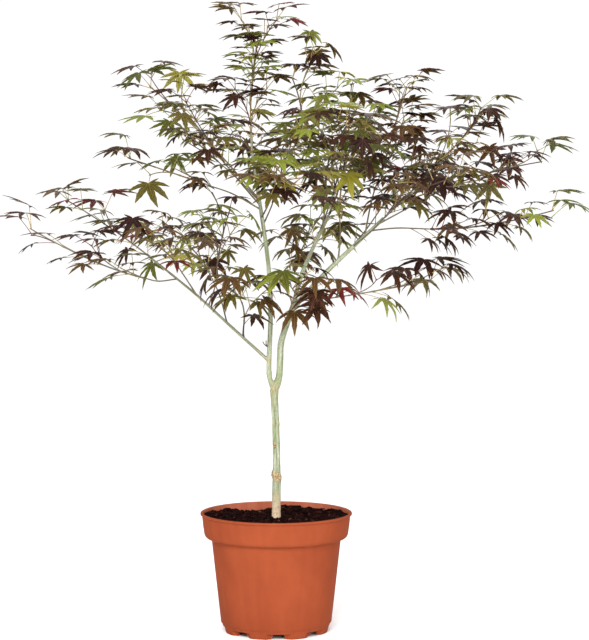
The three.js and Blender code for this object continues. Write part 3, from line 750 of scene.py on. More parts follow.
def nodePlaces(limb, dice):
    # where pairs of old buds stand along a limb, and which way each pair points
    places, at = [], dice.between(10, 24)
    turn = dice.between(0, math.pi)
    while at < limb["curve"].length - 3:
        places.append((at, turn))
        at += dice.between(*barkForm["nodeGap"])
        turn += math.pi / 2 + dice.between(-0.3, 0.3)
    return places


def barkRelief(name, lengthAt, angle, radius, nodes, height):
    # how far the bark stands out at a place, and how much of a scar is there
    b = barkForm
    offset = (sum(map(ord, name)) % 97) * 1.7
    x, y = math.cos(angle), math.sin(angle)
    around = b["ridgeAround"] * max(0.35, radius / 5)
    ridge = noise.noise(Vector((x * around, y * around, lengthAt * b["ridgeAlong"] + offset)))
    fineAlong = lengthAt * b["ridgeAlong"] * 2.2 - offset
    fine = noise.noise(Vector((x * around * 2.3, y * around * 2.3, fineAlong)))
    lump = noise.noise(Vector((x * 1.1, y * 1.1, lengthAt * 0.06 + offset * 2)))
    size = min(1, radius / 4)
    out = size * (b["ridge"] * (ridge + 0.55 * fine) + b["lump"] * lump)
    scar = 0.0
    for at, turn in nodes:
        off = lengthAt - at
        if abs(off) > 9:
            continue
        # a ring shows most beside its two buds
        beside = 0.3 + 0.7 * math.cos(angle - turn) ** 2
        out += size * b["nodeSwell"] * math.exp(-(off / b["nodeWidth"]) ** 2)
        groove = math.exp(-((off + 1.2) / 0.45) ** 2) + math.exp(-((off - 0.2) / 0.45) ** 2)
        out -= size * 0.12 * beside * groove
        scar = max(scar, b["ringScar"] * beside * math.exp(-((off + 0.5) / 1.2) ** 2))
        for side in (0, math.pi):
            away = math.atan2(math.sin(angle - turn - side), math.cos(angle - turn - side))
            bud = math.exp(-(away * radius / 1.25) ** 2 - ((off - 1.2) / 1.5) ** 2)
            out += size * b["budSwell"] * bud
            scar = max(scar, 0.7 * bud)
    if name == "trunk":
        out += b["belowKnot"] * min(1, max(0, (194 - height) / 6)) * min(1, max(0, (height - 146) / 24))
        for knotHeight, knotTurn, swelling, width, strength in b["knots"]:
            away = math.atan2(math.sin(angle - knotTurn), math.cos(angle - knotTurn)) * radius
            off = height - knotHeight
            far = (away ** 2 + (0.8 * off) ** 2) / width ** 2
            if far > 9:
                continue
            crackle = noise.noise(Vector((x * radius * 0.7, y * radius * 0.7, height * 0.55)))
            out += (swelling + 0.9 * strength * crackle) * math.exp(-far * far)
            scar = max(scar, strength * math.exp(-0.8 * far * far))
    return out, scar


def mixOver(nodes, links, under, over, amount):
    # lays one colour over another; each is a socket or a colour
    mix = addNode(nodes, "ShaderNodeMix", data_type="RGBA")
    for key, value in (("A", under), ("B", over), ("Factor", amount)):
        if isinstance(value, tuple):
            mix.inputs[key].default_value = value
        else:
            links.new(value, mix.inputs[key])
    return mix.outputs["Result"]


def barkMaterial(name, look):
    # smooth bark: long streaks that follow the limb, greener patches, fine dark specks, tan at the scars
    material, nodes, links, shader = startMaterial(name)
    flow, scar, fresh, young = (addNode(nodes, "ShaderNodeAttribute", attribute_name="bark" + part)
                                for part in ("Flow", "Scar", "Fresh", "Young"))
    # scale across and along the limb, detail and roughness of the streaks, the patches and the flecks
    layers = (((0.55, 0.55, 0.035), 5, 0.7), ((0.2, 0.2, 0.02), 3, 0.5), ((0.8, 0.8, 0.4), 4, 0.62))
    textures = []
    for scale, detail, rough in layers:
        mapping = nodes.new("ShaderNodeMapping")
        mapping.inputs["Scale"].default_value = scale
        texture = addNode(nodes, "ShaderNodeTexNoise", Scale=1.0, Detail=detail, Roughness=rough)
        links.new(flow.outputs["Vector"], mapping.inputs["Vector"])
        links.new(mapping.outputs["Vector"], texture.inputs["Vector"])
        textures.append(texture.outputs["Fac"])
    streak, patch, fleck = textures

    def amount(source, low, high, most):
        return addRamp(nodes, links, source, [(low, grey(0)), (high, grey(most))])

    tone = addRamp(nodes, links, streak,
                   [(0.34 + 0.1 * i, srgb(*colour)) for i, colour in enumerate(look["tones"])])
    colour = mixOver(nodes, links, tone, srgb(*look["moss"]), amount(patch, 0.45, 0.66, 0.7))
    colour = mixOver(nodes, links, colour, srgb(*look["fresh"]), fresh.outputs["Fac"])
    colour = mixOver(nodes, links, colour, srgb(*look["young"]), young.outputs["Fac"])
    colour = mixOver(nodes, links, colour, srgb(*look["speck"]), amount(fleck, 0.52, 0.64, look["specks"]))
    cracked = addRamp(nodes, links, fleck, [(0.44, srgb(*look["crack"])), (0.53, srgb(*look["scar"]))])
    colour = mixOver(nodes, links, colour, cracked, scar.outputs["Fac"])
    links.new(colour, shader.inputs["Base Color"])
    gloss = addRamp(nodes, links, streak, [(0.3, grey(0.58)), (0.7, grey(0.8))])
    links.new(gloss, shader.inputs["Roughness"])
    shader.inputs["Specular IOR Level"].default_value = 0.25
    addBump(nodes, links, fleck, shader, 0.4, 0.0003)
    return material


def setBarkFlow(piece, flow, scar, fresh, young):
    # every point's place round and along its limb, in millimetres, for the streaks to follow
    attributes = piece.data.attributes
    flowValues = np.asarray(flow, np.float32).ravel()
    attributes.new("barkFlow", "FLOAT_VECTOR", "POINT").data.foreach_set("vector", flowValues)
    for key, values in (("barkScar", scar), ("barkFresh", fresh), ("barkYoung", young)):
        attributes.new(key, "FLOAT", "POINT").data.foreach_set("value", np.asarray(values, np.float32))


def makeTrunk():
    b = barkForm
    dice = Dice(b["seed"])
    pile = MeshPile()
    samples = []
    for name in mainLimbs:
        limb = limbs[name]
        shares, points, radii = sampleLimb(limb, b["ring"])
        if name == "trunk":
            points = np.vstack([points[0] - up * b["sunk"], points])
            radii = np.concatenate([[radii[0] + 0.5], radii])
        else:
            # a soft collar where it leaves its carrier
            radii = radii + collarAt(limb, shares, radii[0], b["collar"])
        pile.add(*tubeShape(points, radii, 24 if limb["thick"][0] > 3 else 16))
        fineShares, finePoints, fineRadii = sampleLimb(limb, b["fineRing"])
        along, across, beside = makeFrames(finePoints)
        fineLengths = fineShares * limb["curve"].length
        samples.append((name, fineLengths, finePoints, fineRadii, along, across, beside))
        limb["nodes"] = nodePlaces(limb, dice)
    rough = pile.makeObject("trunk_and_boughs", [])
    fuse = rough.modifiers.new("fuse", "REMESH")
    fuse.mode = "VOXEL"
    fuse.voxel_size = b["voxel"] * mm
    soften = rough.modifiers.new("soften", "SMOOTH")
    soften.iterations = b["smoothing"]
    soften.factor = 0.5
    applyModifiers(rough)
    mesh = rough.data

    names = [name for name, lengths, *_ in samples for _ in lengths]
    lengths = np.concatenate([s[1] for s in samples])
    points = np.concatenate([s[2] for s in samples])
    radii = np.concatenate([s[3] for s in samples])
    along, across, beside = (np.concatenate([s[k] for s in samples]) for k in (4, 5, 6))
    # each point of the fused mesh belongs to the limb whose own surface it lies nearest
    trees = []
    start = 0
    for s in samples:
        tree = KDTree(len(s[1]))
        for i, p in enumerate(s[2]):
            tree.insert(p, start + i)
        tree.balance()
        trees.append(tree)
        start += len(s[1])
    verts = np.zeros(len(mesh.vertices) * 3)
    mesh.vertices.foreach_get("co", verts)
    verts = verts.reshape(-1, 3) / mm
    normals = np.zeros(len(mesh.vertices) * 3)
    mesh.vertices.foreach_get("normal", normals)
    normals = normals.reshape(-1, 3)
    flow, scars, young = np.zeros((len(verts), 3)), np.zeros(len(verts)), np.zeros(len(verts))
    fresh = b["freshSkin"] * np.clip((b["freshTop"] - verts[:, 2]) / b["freshReach"], 0, 1)
    for v, vert in enumerate(verts):
        best = None
        for tree in trees:
            _, index, far = tree.find(vert)
            gap = abs(far - radii[index])
            if best is None or gap < best[0]:
                best = (gap, index, far)
        gap, index, far = best
        out = vert - points[index]
        out = out - along[index] * out.dot(along[index])
        far = max(1e-6, math.sqrt(out.dot(out)))
        out /= far
        angle = math.atan2(out.dot(beside[index]), out.dot(across[index]))
        relief, scar = barkRelief(names[index], lengths[index], angle, radii[index],
                                  limbs[names[index]]["nodes"], vert[2])
        onTube = max(0.0, 1 - abs(far - radii[index]) / 0.6) if gap < 0.6 else 0.0
        axis = vert - out * far
        wanted = axis + out * (radii[index] + relief)
        verts[v] = onTube * wanted + (1 - onTube) * (vert + normals[v] * relief)
        flow[v] = (math.cos(angle) * radii[index], math.sin(angle) * radii[index],
                   lengths[index] + index * 0.01)
        scars[v] = scar
        young[v] = min(1, max(0, (b["youngBelow"] - radii[index]) / b["youngReach"])) * b["youngMost"]
    for name in mainLimbs[1:]:
        limb = limbs[name]
        far = np.linalg.norm(verts - limb["curve"].at(0), axis=1) / (b["jointReach"] * limb["thick"][0] + 1)
        scars = np.maximum(scars, b["joint"] * np.exp(-far ** 2))
    mesh.vertices.foreach_set("co", (verts * mm).ravel())
    mesh.polygons.foreach_set("use_smooth", np.full(len(mesh.polygons), True))
    mesh.materials.clear()
    mesh.materials.append(barkMaterial("pale_bark", barkLooks["pale_bark"]))
    setBarkFlow(rough, flow, scars, fresh, young)
    mesh.update()
    finished(rough, mainLimbs)
    print("  trunk faces", len(mesh.polygons))


makeTrunk()


def makeSideBoughs():
    # the thin boughs, each with its rings, buds and collar
    b = barkForm
    dice = Dice(b["seed"] + 1)
    pile, flow, scars, young = MeshPile(), [], [], []
    names = [row["name"] for row in limbTable if row["name"] not in mainLimbs]
    for name in names:
        limb = limbs[name]
        shares, points, radii = sampleLimb(limb, b["sideRing"])
        radii = radii * b["slimSides"]
        radii = radii + collarAt(limb, shares, radii[0], b["sideCollar"])
        far = shares * limb["curve"].length
        nodes = nodePlaces(limb, dice)
        sides = 12
        verts, corners, totals = tubeShape(points, radii, sides)
        along, across, beside = makeFrames(points)
        for i in range(len(points)):
            for j in range(sides):
                angle = j * 2 * math.pi / sides
                relief, scar = barkRelief(name, far[i], angle, radii[i] * 2, nodes, points[i][2])
                out = math.cos(angle) * across[i] + math.sin(angle) * beside[i]
                verts[i * sides + j] = points[i] + out * (radii[i] + 0.6 * relief)
                flow.append((math.cos(angle) * radii[i], math.sin(angle) * radii[i], far[i]))
                scars.append(scar)
        flow += [(0, 0, 0), (0, 0, far[-1])]
        scars += [0, 0]
        young += [limb.get("dark", 0.3)] * len(verts)
        pile.add(verts, corners, totals)
    material = barkMaterial("side_bark", barkLooks["side_bark"])
    piece = pile.makeObject("side_boughs", [material])
    setBarkFlow(piece, flow, scars, np.zeros(len(scars)), young)
    finished(piece, names)
    print("  side boughs triangles", pile.triangles())


makeSideBoughs()

print("stage: twigs and leaves")

# each mass grows on from a limb's tip to its own tip; tints names how its leaves are coloured
massTable = [
    {"name": "foliage_top", "limb": "leader_top", "tip": (-21, -4, 750),
     "width": 140, "droop": 5, "lift": 0.5, "seed": 3, "tints": "fresh"},
    {"name": "foliage_left_high", "limb": "whorl_left_high", "tip": (-158, 18, 684),
     "width": 150, "droop": 6, "lift": 0.3, "seed": 8, "tints": "olive"},
    {"name": "foliage_left", "limb": "whorl_left", "tip": (-182, -8, 594),
     "width": 140, "droop": 11, "lift": 0.1, "seed": 13, "tints": "olive"},
    {"name": "foliage_left_front", "limb": "whorl_left_front", "tip": (-120, -150, 640),
     "width": 160, "droop": 12, "lift": 0.2, "seed": 21, "tints": "olive"},
    {"name": "foliage_left_back", "limb": "whorl_left_back", "tip": (-110, 175, 642),
     "width": 160, "droop": 11, "lift": 0.2, "seed": 34, "tints": "olive"},
    {"name": "foliage_crown", "limb": "whorl_right", "tip": (20, -6, 694),
     "width": 180, "droop": 9, "lift": 0.3, "seed": 55, "tints": "light"},
    {"name": "foliage_front", "limb": "whorl_front", "tip": (20, -185, 562),
     "width": 160, "droop": 10, "lift": 0.1, "seed": 89, "tints": "light"},
    {"name": "foliage_back", "limb": "leader_back", "tip": (0, 190, 610),
     "width": 160, "droop": 13, "lift": 0.2, "seed": 144, "tints": "mixed"},
    {"name": "foliage_far_left", "limb": "left_low", "tip": (-258, -24, 542),
     "width": 100, "droop": 7, "lift": 0.2, "seed": 17, "tints": "wine"},
    {"name": "foliage_far_left_low", "limb": "left_side", "tip": (-302, -44, 508),
     "width": 100, "droop": 9, "lift": 0.2, "seed": 29, "tints": "wine"},
    {"name": "foliage_left_inner", "limb": "left_rise", "tip": (-58, 14, 530),
     "width": 170, "droop": 13, "lift": 0.2, "seed": 43, "tints": "olive"},
    {"name": "foliage_left_low_back", "limb": "left_back", "tip": (-150, 170, 502),
     "width": 140, "droop": 15, "lift": 0.1, "seed": 53, "tints": "mixed"},
    {"name": "foliage_left_low_front", "limb": "left_front", "tip": (-165, -160, 502),
     "width": 140, "droop": 15, "lift": 0.1, "seed": 67, "tints": "mixed"},
    {"name": "foliage_low", "limb": "low_twig", "tip": (-62, -84, 438),
     "width": 160, "droop": 20, "lift": 0.1, "seed": 71, "tints": "olive"},
    {"name": "foliage_far_right_low", "limb": "right_low", "tip": (342, -34, 530),
     "width": 110, "droop": 17, "lift": 0.1, "seed": 83, "tints": "dark"},
    {"name": "foliage_right_low", "limb": "right_twig", "tip": (192, -44, 444),
     "width": 120, "droop": 20, "lift": 0.2, "seed": 97, "tints": "dark"},
    {"name": "foliage_right_inner", "limb": "right_rise", "tip": (92, -36, 608),
     "width": 160, "droop": 11, "lift": 0.2, "seed": 103, "tints": "fresh"},
    {"name": "foliage_right_crown", "limb": "right_inner", "tip": (92, 20, 660),
     "width": 180, "droop": 10, "lift": 0.3, "seed": 113, "tints": "fresh"},
    {"name": "foliage_low_front", "limb": "front_twig", "tip": (28, -112, 440),
     "width": 150, "droop": 21, "lift": 0.1, "seed": 127, "tints": "olive"},
    {"name": "foliage_centre", "limb": "centre_back", "tip": (44, 120, 510),
     "width": 160, "droop": 17, "lift": 0.1, "seed": 131, "tints": "olive"},
    {"name": "foliage_right_back", "limb": "inner_back", "tip": (92, 200, 640),
     "width": 160, "droop": 13, "lift": 0.2, "seed": 149, "tints": "mixed"},
    {"name": "foliage_right_front", "limb": "inner_front", "tip": (84, -170, 632),
     "width": 160, "droop": 10, "lift": 0.2, "seed": 157, "tints": "light"},
    {"name": "foliage_right_high", "limb": "outer_high", "tip": (158, 26, 670),
     "width": 150, "droop": 9, "lift": 0.3, "seed": 163, "tints": "dark"},
    {"name": "foliage_right_upper", "limb": "right_outer", "tip": (250, -10, 640),
     "width": 150, "droop": 10, "lift": 0.3, "seed": 173, "tints": "dark"},
    {"name": "foliage_far_right", "limb": "outer_right", "tip": (332, 10, 590),
     "width": 140, "droop": 11, "lift": 0.2, "seed": 181, "tints": "wine"},
    {"name": "foliage_right_low_front", "limb": "outer_front", "tip": (216, -180, 574),
     "width": 150, "droop": 15, "lift": 0.2, "seed": 191, "tints": "mixed"},
    {"name": "foliage_right_low_back", "limb": "outer_back", "tip": (214, 180, 578),
     "width": 150, "droop": 14, "lift": 0.2, "seed": 199, "tints": "dark"},
]

# how much of the finer growth each mass has, and how broad its leaves' lobes are, as shares;
# the growth thins out towards a mass's tip, so one with more than 1 stays full further out
fullness = {
    "foliage_top": (1.25, 0.9), "foliage_left_high": (0.4, 0.6), "foliage_left": (0.3, 0.55),
    "foliage_left_front": (0.3, 0.7), "foliage_left_back": (0.45, 0.8), "foliage_crown": (1.3, 1),
    "foliage_front": (0.5, 0.8), "foliage_back": (0.5, 0.7), "foliage_far_left": (0.4, 0.4),
    "foliage_far_left_low": (0.35, 0.4), "foliage_left_inner": (0.45, 0.45),
    "foliage_left_low_back": (0.25, 0.4), "foliage_left_low_front": (0.22, 0.4),
    "foliage_low": (0.42, 0.35), "foliage_far_right_low": (0.35, 0.4), "foliage_right_low": (0.12, 0.1),
    "foliage_right_inner": (1, 0.9), "foliage_right_crown": (0.65, 0.95),
    "foliage_low_front": (0.4, 0.25), "foliage_centre": (0.6, 0.4), "foliage_right_back": (0.5, 0.8),
    "foliage_right_front": (0.6, 0.85), "foliage_right_high": (1.1, 0.8),
    "foliage_right_upper": (0.6, 0.55), "foliage_far_right": (0.45, 0.5),
    "foliage_right_low_front": (0.2, 0.4), "foliage_right_low_back": (0.45, 0.4),
}

growth = {
    "bend": 0.42, "node": 36, "shootAngle": 0.9, "twist": 0.6, "reach": (0.55, 1), "narrowing": 0.4,
    "leafReach": 22, "stalkLength": (18, 30), "stalkWay": (0.55, 0.75, 0.4), "bladeWay": (0.5, 0.85),
    "stem": (1, 0.75), "shoot": (0.75, 0.6), "twiglet": (0.55, 0.45), "sink": 1.5, "space": 0.62,
    "gap": 0.3,
    "bow": 0.09,  # how far a shoot bows aside, as a share of its length
    "climb": 0.3,  # share of a leaf's own climb that its blade keeps
    "early": 0.2,  # a shoot parts from its stem this share of the stem before it turns aside
    "middlePairs": (0.38, 0.58, 0.78),  # places of further pairs of leaves along a shoot
    "middleLeast": 20,  # a shoot shorter than this has none
    "twiglets": ((0.35, 0.5), (0.58, 0.82)),  # where a shoot's own side twigs stand
    "twigletShare": 0.62, "twigletLeast": 22,
    "stemPairs": (0.1, 0.3, 0.5, 0.7, 0.9),  # places of further pairs along a stem, as shares of a node
    "sameTint": 0.35,  # share of the finer pairs that take their shoot's tint
    "coarse": 0.4,  # shoots of the coarse growth are kept by this much more than the fullness
    "crowding": (1.35, 0.75),  # of the fullness, at a stem's foot, and how much less at its tip
    "limbPairs": (0.7, 0.92), "limbMost": 2.6,  # pairs on the limb itself, where it is thinner than this
}

leafForm = {
    "length": 39,
    "sizes": ((0.2, 0.7), (1.04, 0.82)),  # broad leaves are smaller
    "hang": (-9, 11), "sway": 0.3, "roll": 0.22,
    "slack": (0.84, 42),  # the leaves past this share of the hang droop by up to so many degrees more
    "lobes": (-118, -77, -38, 0, 38, 77, 118),  # degrees
    "reach": (0.44, 0.76, 0.95, 1, 0.95, 0.76, 0.44),
    "sinus": (0.27, 0.4),  # from the stalk to a notch, of the lobes' length: narrow and broad lobes
    "inner": (0.0, 0.55, 1.0), "outer": (0.16, 0.33, 0.5, 0.66, 0.83, 1.0),
    "tooth": 0.09,
    "curl": (0.06, 0.012),  # how far the lobes' tips hang: level, and more for each degree of droop
    "limp": (0.5, 1.3),  # share of that by which one leaf hangs
    "fold": (0.2, 0.5),  # radians by which the two halves of a lobe rise from its rib
    "thick": 0.42, "rib": (0.42, 0.16),
    "room": (1.6, 0.7), "overlap": 1.2,
    "seed": 700,
}

# each part of a blade: how its materials are named, their roughness and the light that they let through
leafSkins = {"blade": ("leaf_", 0.46, 0.12), "rib": ("rib_", 0.5, 0.1), "under": ("underside_", 0.62, 0.12)}

leafTints = {
    "fresh_green": {"slot": "leaf_green", "blade": (104, 112, 36), "rib": (138, 142, 78),
                    "under": (118, 123, 58)},
    "deep_green": {"slot": "leaf_green", "blade": (60, 64, 23), "rib": (92, 93, 50), "under": (76, 78, 42)},
    "yellow_green": {"slot": "leaf_green", "blade": (136, 129, 42), "rib": (156, 148, 80),
                     "under": (142, 134, 62)},
    "olive": {"slot": "leaf_bronze", "blade": (65, 57, 25), "rib": (96, 84, 47), "under": (79, 69, 40)},
    "bronze": {"slot": "leaf_bronze", "blade": (65, 45, 26), "rib": (98, 74, 48), "under": (82, 58, 38)},
    "brown": {"slot": "leaf_purple", "blade": (44, 25, 18), "rib": (76, 50, 39), "under": (61, 40, 31)},
    "dark_purple": {"slot": "leaf_purple", "blade": (30, 15, 13), "rib": (58, 33, 29),
                    "under": (47, 28, 25)},
    "wine_red": {"slot": "leaf_purple", "blade": (88, 27, 28), "rib": (102, 50, 44), "under": (88, 38, 36)},
}

palettes = {
    "light": {"fresh_green": 5, "yellow_green": 1.8, "deep_green": 1.5, "olive": 3, "bronze": 2.5,
              "brown": 2.5, "dark_purple": 1},
    "fresh": {"fresh_green": 4.5, "yellow_green": 1.4, "deep_green": 1.5, "olive": 3, "bronze": 3,
              "brown": 3.5, "dark_purple": 1.2, "wine_red": 0.2},
    "olive": {"fresh_green": 1.8, "yellow_green": 0.6, "deep_green": 1.5, "olive": 4, "bronze": 3,
              "brown": 3, "dark_purple": 1.5},
    "mixed": {"fresh_green": 1.5, "yellow_green": 0.6, "deep_green": 1.2, "olive": 2.5,
              "bronze": 3, "brown": 3.5, "dark_purple": 3, "wine_red": 0.4},
    "dark": {"fresh_green": 0.8, "deep_green": 1, "olive": 2, "bronze": 2.2, "brown": 4,
             "dark_purple": 4, "wine_red": 0.4},
    "wine": {"deep_green": 0.7, "olive": 3, "bronze": 3, "brown": 3, "dark_purple": 2.5,
             "wine_red": 1},
}

stalkTints = {"tan": (160, 134, 78), "green": (134, 136, 70), "red": (104, 52, 42)}
shootTints = {"tan": (128, 106, 64), "brown": (70, 46, 38), "grey": (106, 96, 76)}


class RodField:
    # what stems, shoots and leaves hold, as thin rods
    def __init__(self):
        self.size, self.count = 4096, 0
        self.start, self.end = np.zeros((self.size, 3)), np.zeros((self.size, 3))
        self.radius, self.owner = np.zeros(self.size), np.zeros(self.size, int)

    def add(self, start, end, radius, owner):
        more = len(start)
        while self.count + more > self.size:
            self.start, self.end = np.vstack([self.start] * 2), np.vstack([self.end] * 2)
            self.radius, self.owner = np.tile(self.radius, 2), np.tile(self.owner, 2)
            self.size *= 2
        rows = slice(self.count, self.count + more)
        self.start[rows], self.end[rows], self.radius[rows], self.owner[rows] = start, end, radius, owner
        self.count += more

    def isClear(self, start, end, radius, owner, overlap, neighbour=-1):
        # whether rods keep clear of all that the field holds, but for those of a neighbour
        middle = (start.min(0) + start.max(0) + end.min(0) + end.max(0)) / 4
        starts, ends = np.linalg.norm(start - middle, axis=1), np.linalg.norm(end - middle, axis=1)
        spread = max(starts.max(), ends.max())
        c, d = self.start[:self.count], self.end[:self.count]
        half = np.linalg.norm(d - c, axis=1) / 2
        near = np.linalg.norm((c + d) / 2 - middle, axis=1) < spread + half + 12
        near &= self.owner[:self.count] != neighbour
        if not near.any():
            return True
        c, d = c[near][None], d[near][None]
        a, b = start[:, None], end[:, None]
        u, v, w = b - a, d - c, a - c
        uu, vv, uv = (u * u).sum(-1), (v * v).sum(-1), (u * v).sum(-1)
        uw, vw = (u * w).sum(-1), (v * w).sum(-1)
        spreadUv = uu * vv - uv * uv
        s = np.where(spreadUv > 1e-9, np.clip((uv * vw - uw * vv) / np.maximum(spreadUv, 1e-9), 0, 1), 0)
        t = np.clip((uv * s + vw) / vv, 0, 1)
        s = np.clip((uv * t - uw) / uu, 0, 1)
        apart = np.linalg.norm(w + u * s[..., None] - v * t[..., None], axis=-1)
        least = np.asarray(radius)[:, None] + self.radius[:self.count][near][None] + 2 * growth["gap"]
        least = least - overlap * (self.owner[:self.count][near][None] == owner)
        return bool((apart > least).all())


field = RodField()
owners = {name: i for i, name in enumerate([*limbs, *[mass["name"] for mass in massTable]])}


def rodsAlong(curve, radii, count):
    shares = np.linspace(0, 1, count + 1)
    points = np.array([curve.at(t) for t in shares])
    return points[:-1], points[1:], np.interp(shares[:-1], [0, 1], radii)


for name, limb in limbs.items():
    start, end, _ = rodsAlong(limb["curve"], limb["thick"], max(3, round(limb["curve"].length / 22)))
    radii = [limbRadius(limb, t) for t in np.linspace(0, 1, len(start) + 1)[:-1]]
    field.add(start, end, radii, owners[name])


def awayFrom(along, turn):
    # the way a leaf or shoot leaves a stem; turn is its angle round the stem, from level
    level = np.cross(along, up)
    level = np.array([1.0, 0, 0]) if np.linalg.norm(level) < 0.2 else unit(level)
    rise = np.cross(level, along)
    return level * math.cos(turn) + rise * math.sin(turn)


def makeLeaf(foot, along, away, droop, broad, dice, size=1.0):
    # a blade and its stalk: the stalk's foot, the blade's own axes and its length
    lean = lambda forward, aside, rise=0: unit(along * forward + away * aside + up * rise)
    base = foot + lean(*growth["stalkWay"]) * dice.between(*growth["stalkLength"])
    heading = lean(*growth["bladeWay"])
    climb = math.atan2(heading[2], math.hypot(heading[0], heading[1]))
    hang = dice.roll()
    slack = leafForm["slack"][1] * max(0, hang - leafForm["slack"][0]) / (1 - leafForm["slack"][0])
    low, high = leafForm["hang"]
    pitch = growth["climb"] * climb - math.radians(droop + low + (high - low) * hang + slack)
    bearing = math.atan2(heading[1], heading[0]) + dice.between(-leafForm["sway"], leafForm["sway"])
    level = math.cos(pitch)
    forward = np.array([math.cos(bearing) * level, math.sin(bearing) * level, math.sin(pitch)])
    right = unit(np.cross(forward, up))
    roll = dice.between(-leafForm["roll"], leafForm["roll"])
    right = right * math.cos(roll) + np.cross(forward, right) * math.sin(roll)
    normal = np.cross(right, forward)
    length = leafForm["length"] * size * dice.between(0.85, 1.1) * np.interp(broad, *leafForm["sizes"])
    curl = leafForm["curl"][0] + leafForm["curl"][1] * droop
    return {"foot": foot, "base": base, "right": right, "forward": forward, "normal": normal,
            "length": length, "broad": broad, "curl": curl}


def leafRods(leaf):
    # the stalk and two rods for each of five lobes
    angles = np.array([-1.62, -0.78, 0, 0.78, 1.62])
    shares = np.array([0.62, 0.92, 1, 0.92, 0.62])

    def spot(angle, share):
        far = share * leaf["length"]
        hang = (leaf["curl"] + 0.05) * share * far
        return (leaf["base"] + np.outer(np.sin(angle) * far, leaf["right"])
                + np.outer(np.cos(angle) * far, leaf["forward"]) - np.outer(hang, leaf["normal"]))

    bends, tips = spot(angles, np.full(5, 0.45)), spot(angles, shares)
    start = np.vstack([leaf["foot"], np.tile(leaf["base"], (5, 1)), bends])
    end = np.vstack([leaf["base"], bends, tips])
    inner, outer = leafForm["room"]
    return start, end, np.array([0.6] + [inner] * 5 + [outer] * 5)


twigPile = {name: MeshPile() for name in shootTints}
stalkPile = {name: MeshPile() for name in stalkTints}
leavesOf = {name: [] for name in leafTints}
massesOf = {name: set() for name in leafTints}


def growStem(mass):
    limb = limbs[mass["limb"]]
    heading = limb["curve"].tangent(1)
    start = limb["curve"].at(1) + heading * growth["gap"]
    tip = np.array(mass["tip"], float)
    span = np.linalg.norm(tip - start)
    curve = bentCurve(start, start + heading * growth["bend"] * span, tip)
    radii = (min(growth["stem"][0], 0.9 * limbRadius(limb, 1)), growth["stem"][1])
    mass.update(curve=curve, radii=radii, span=span, start=start, end=tip, owner=owners[mass["name"]])
    field.add(*rodsAlong(curve, radii, 5), mass["owner"])


def addTwig(curve, radii, tint, nodes=(), rings=8, sides=7, point=1.6):
    # a twig with a slight swelling at each pair of leaves, drawn out to a bud at its tip
    shares = np.unique(np.concatenate([np.linspace(0, 1, rings), *[[max(0, n - 0.02), n, min(1, n + 0.02)]
                                                                   for n in nodes]]))
    points = np.array([curve.at(t) for t in shares])
    thick = np.interp(shares, [0, 1], radii)
    for n in nodes:
        thick = thick * (1 + 0.4 * np.exp(-((shares - n) * curve.length / 1.1) ** 2))
    thick[-1] *= 1.15
    twigPile[tint].add(*tubeShape(points, thick, sides, point))


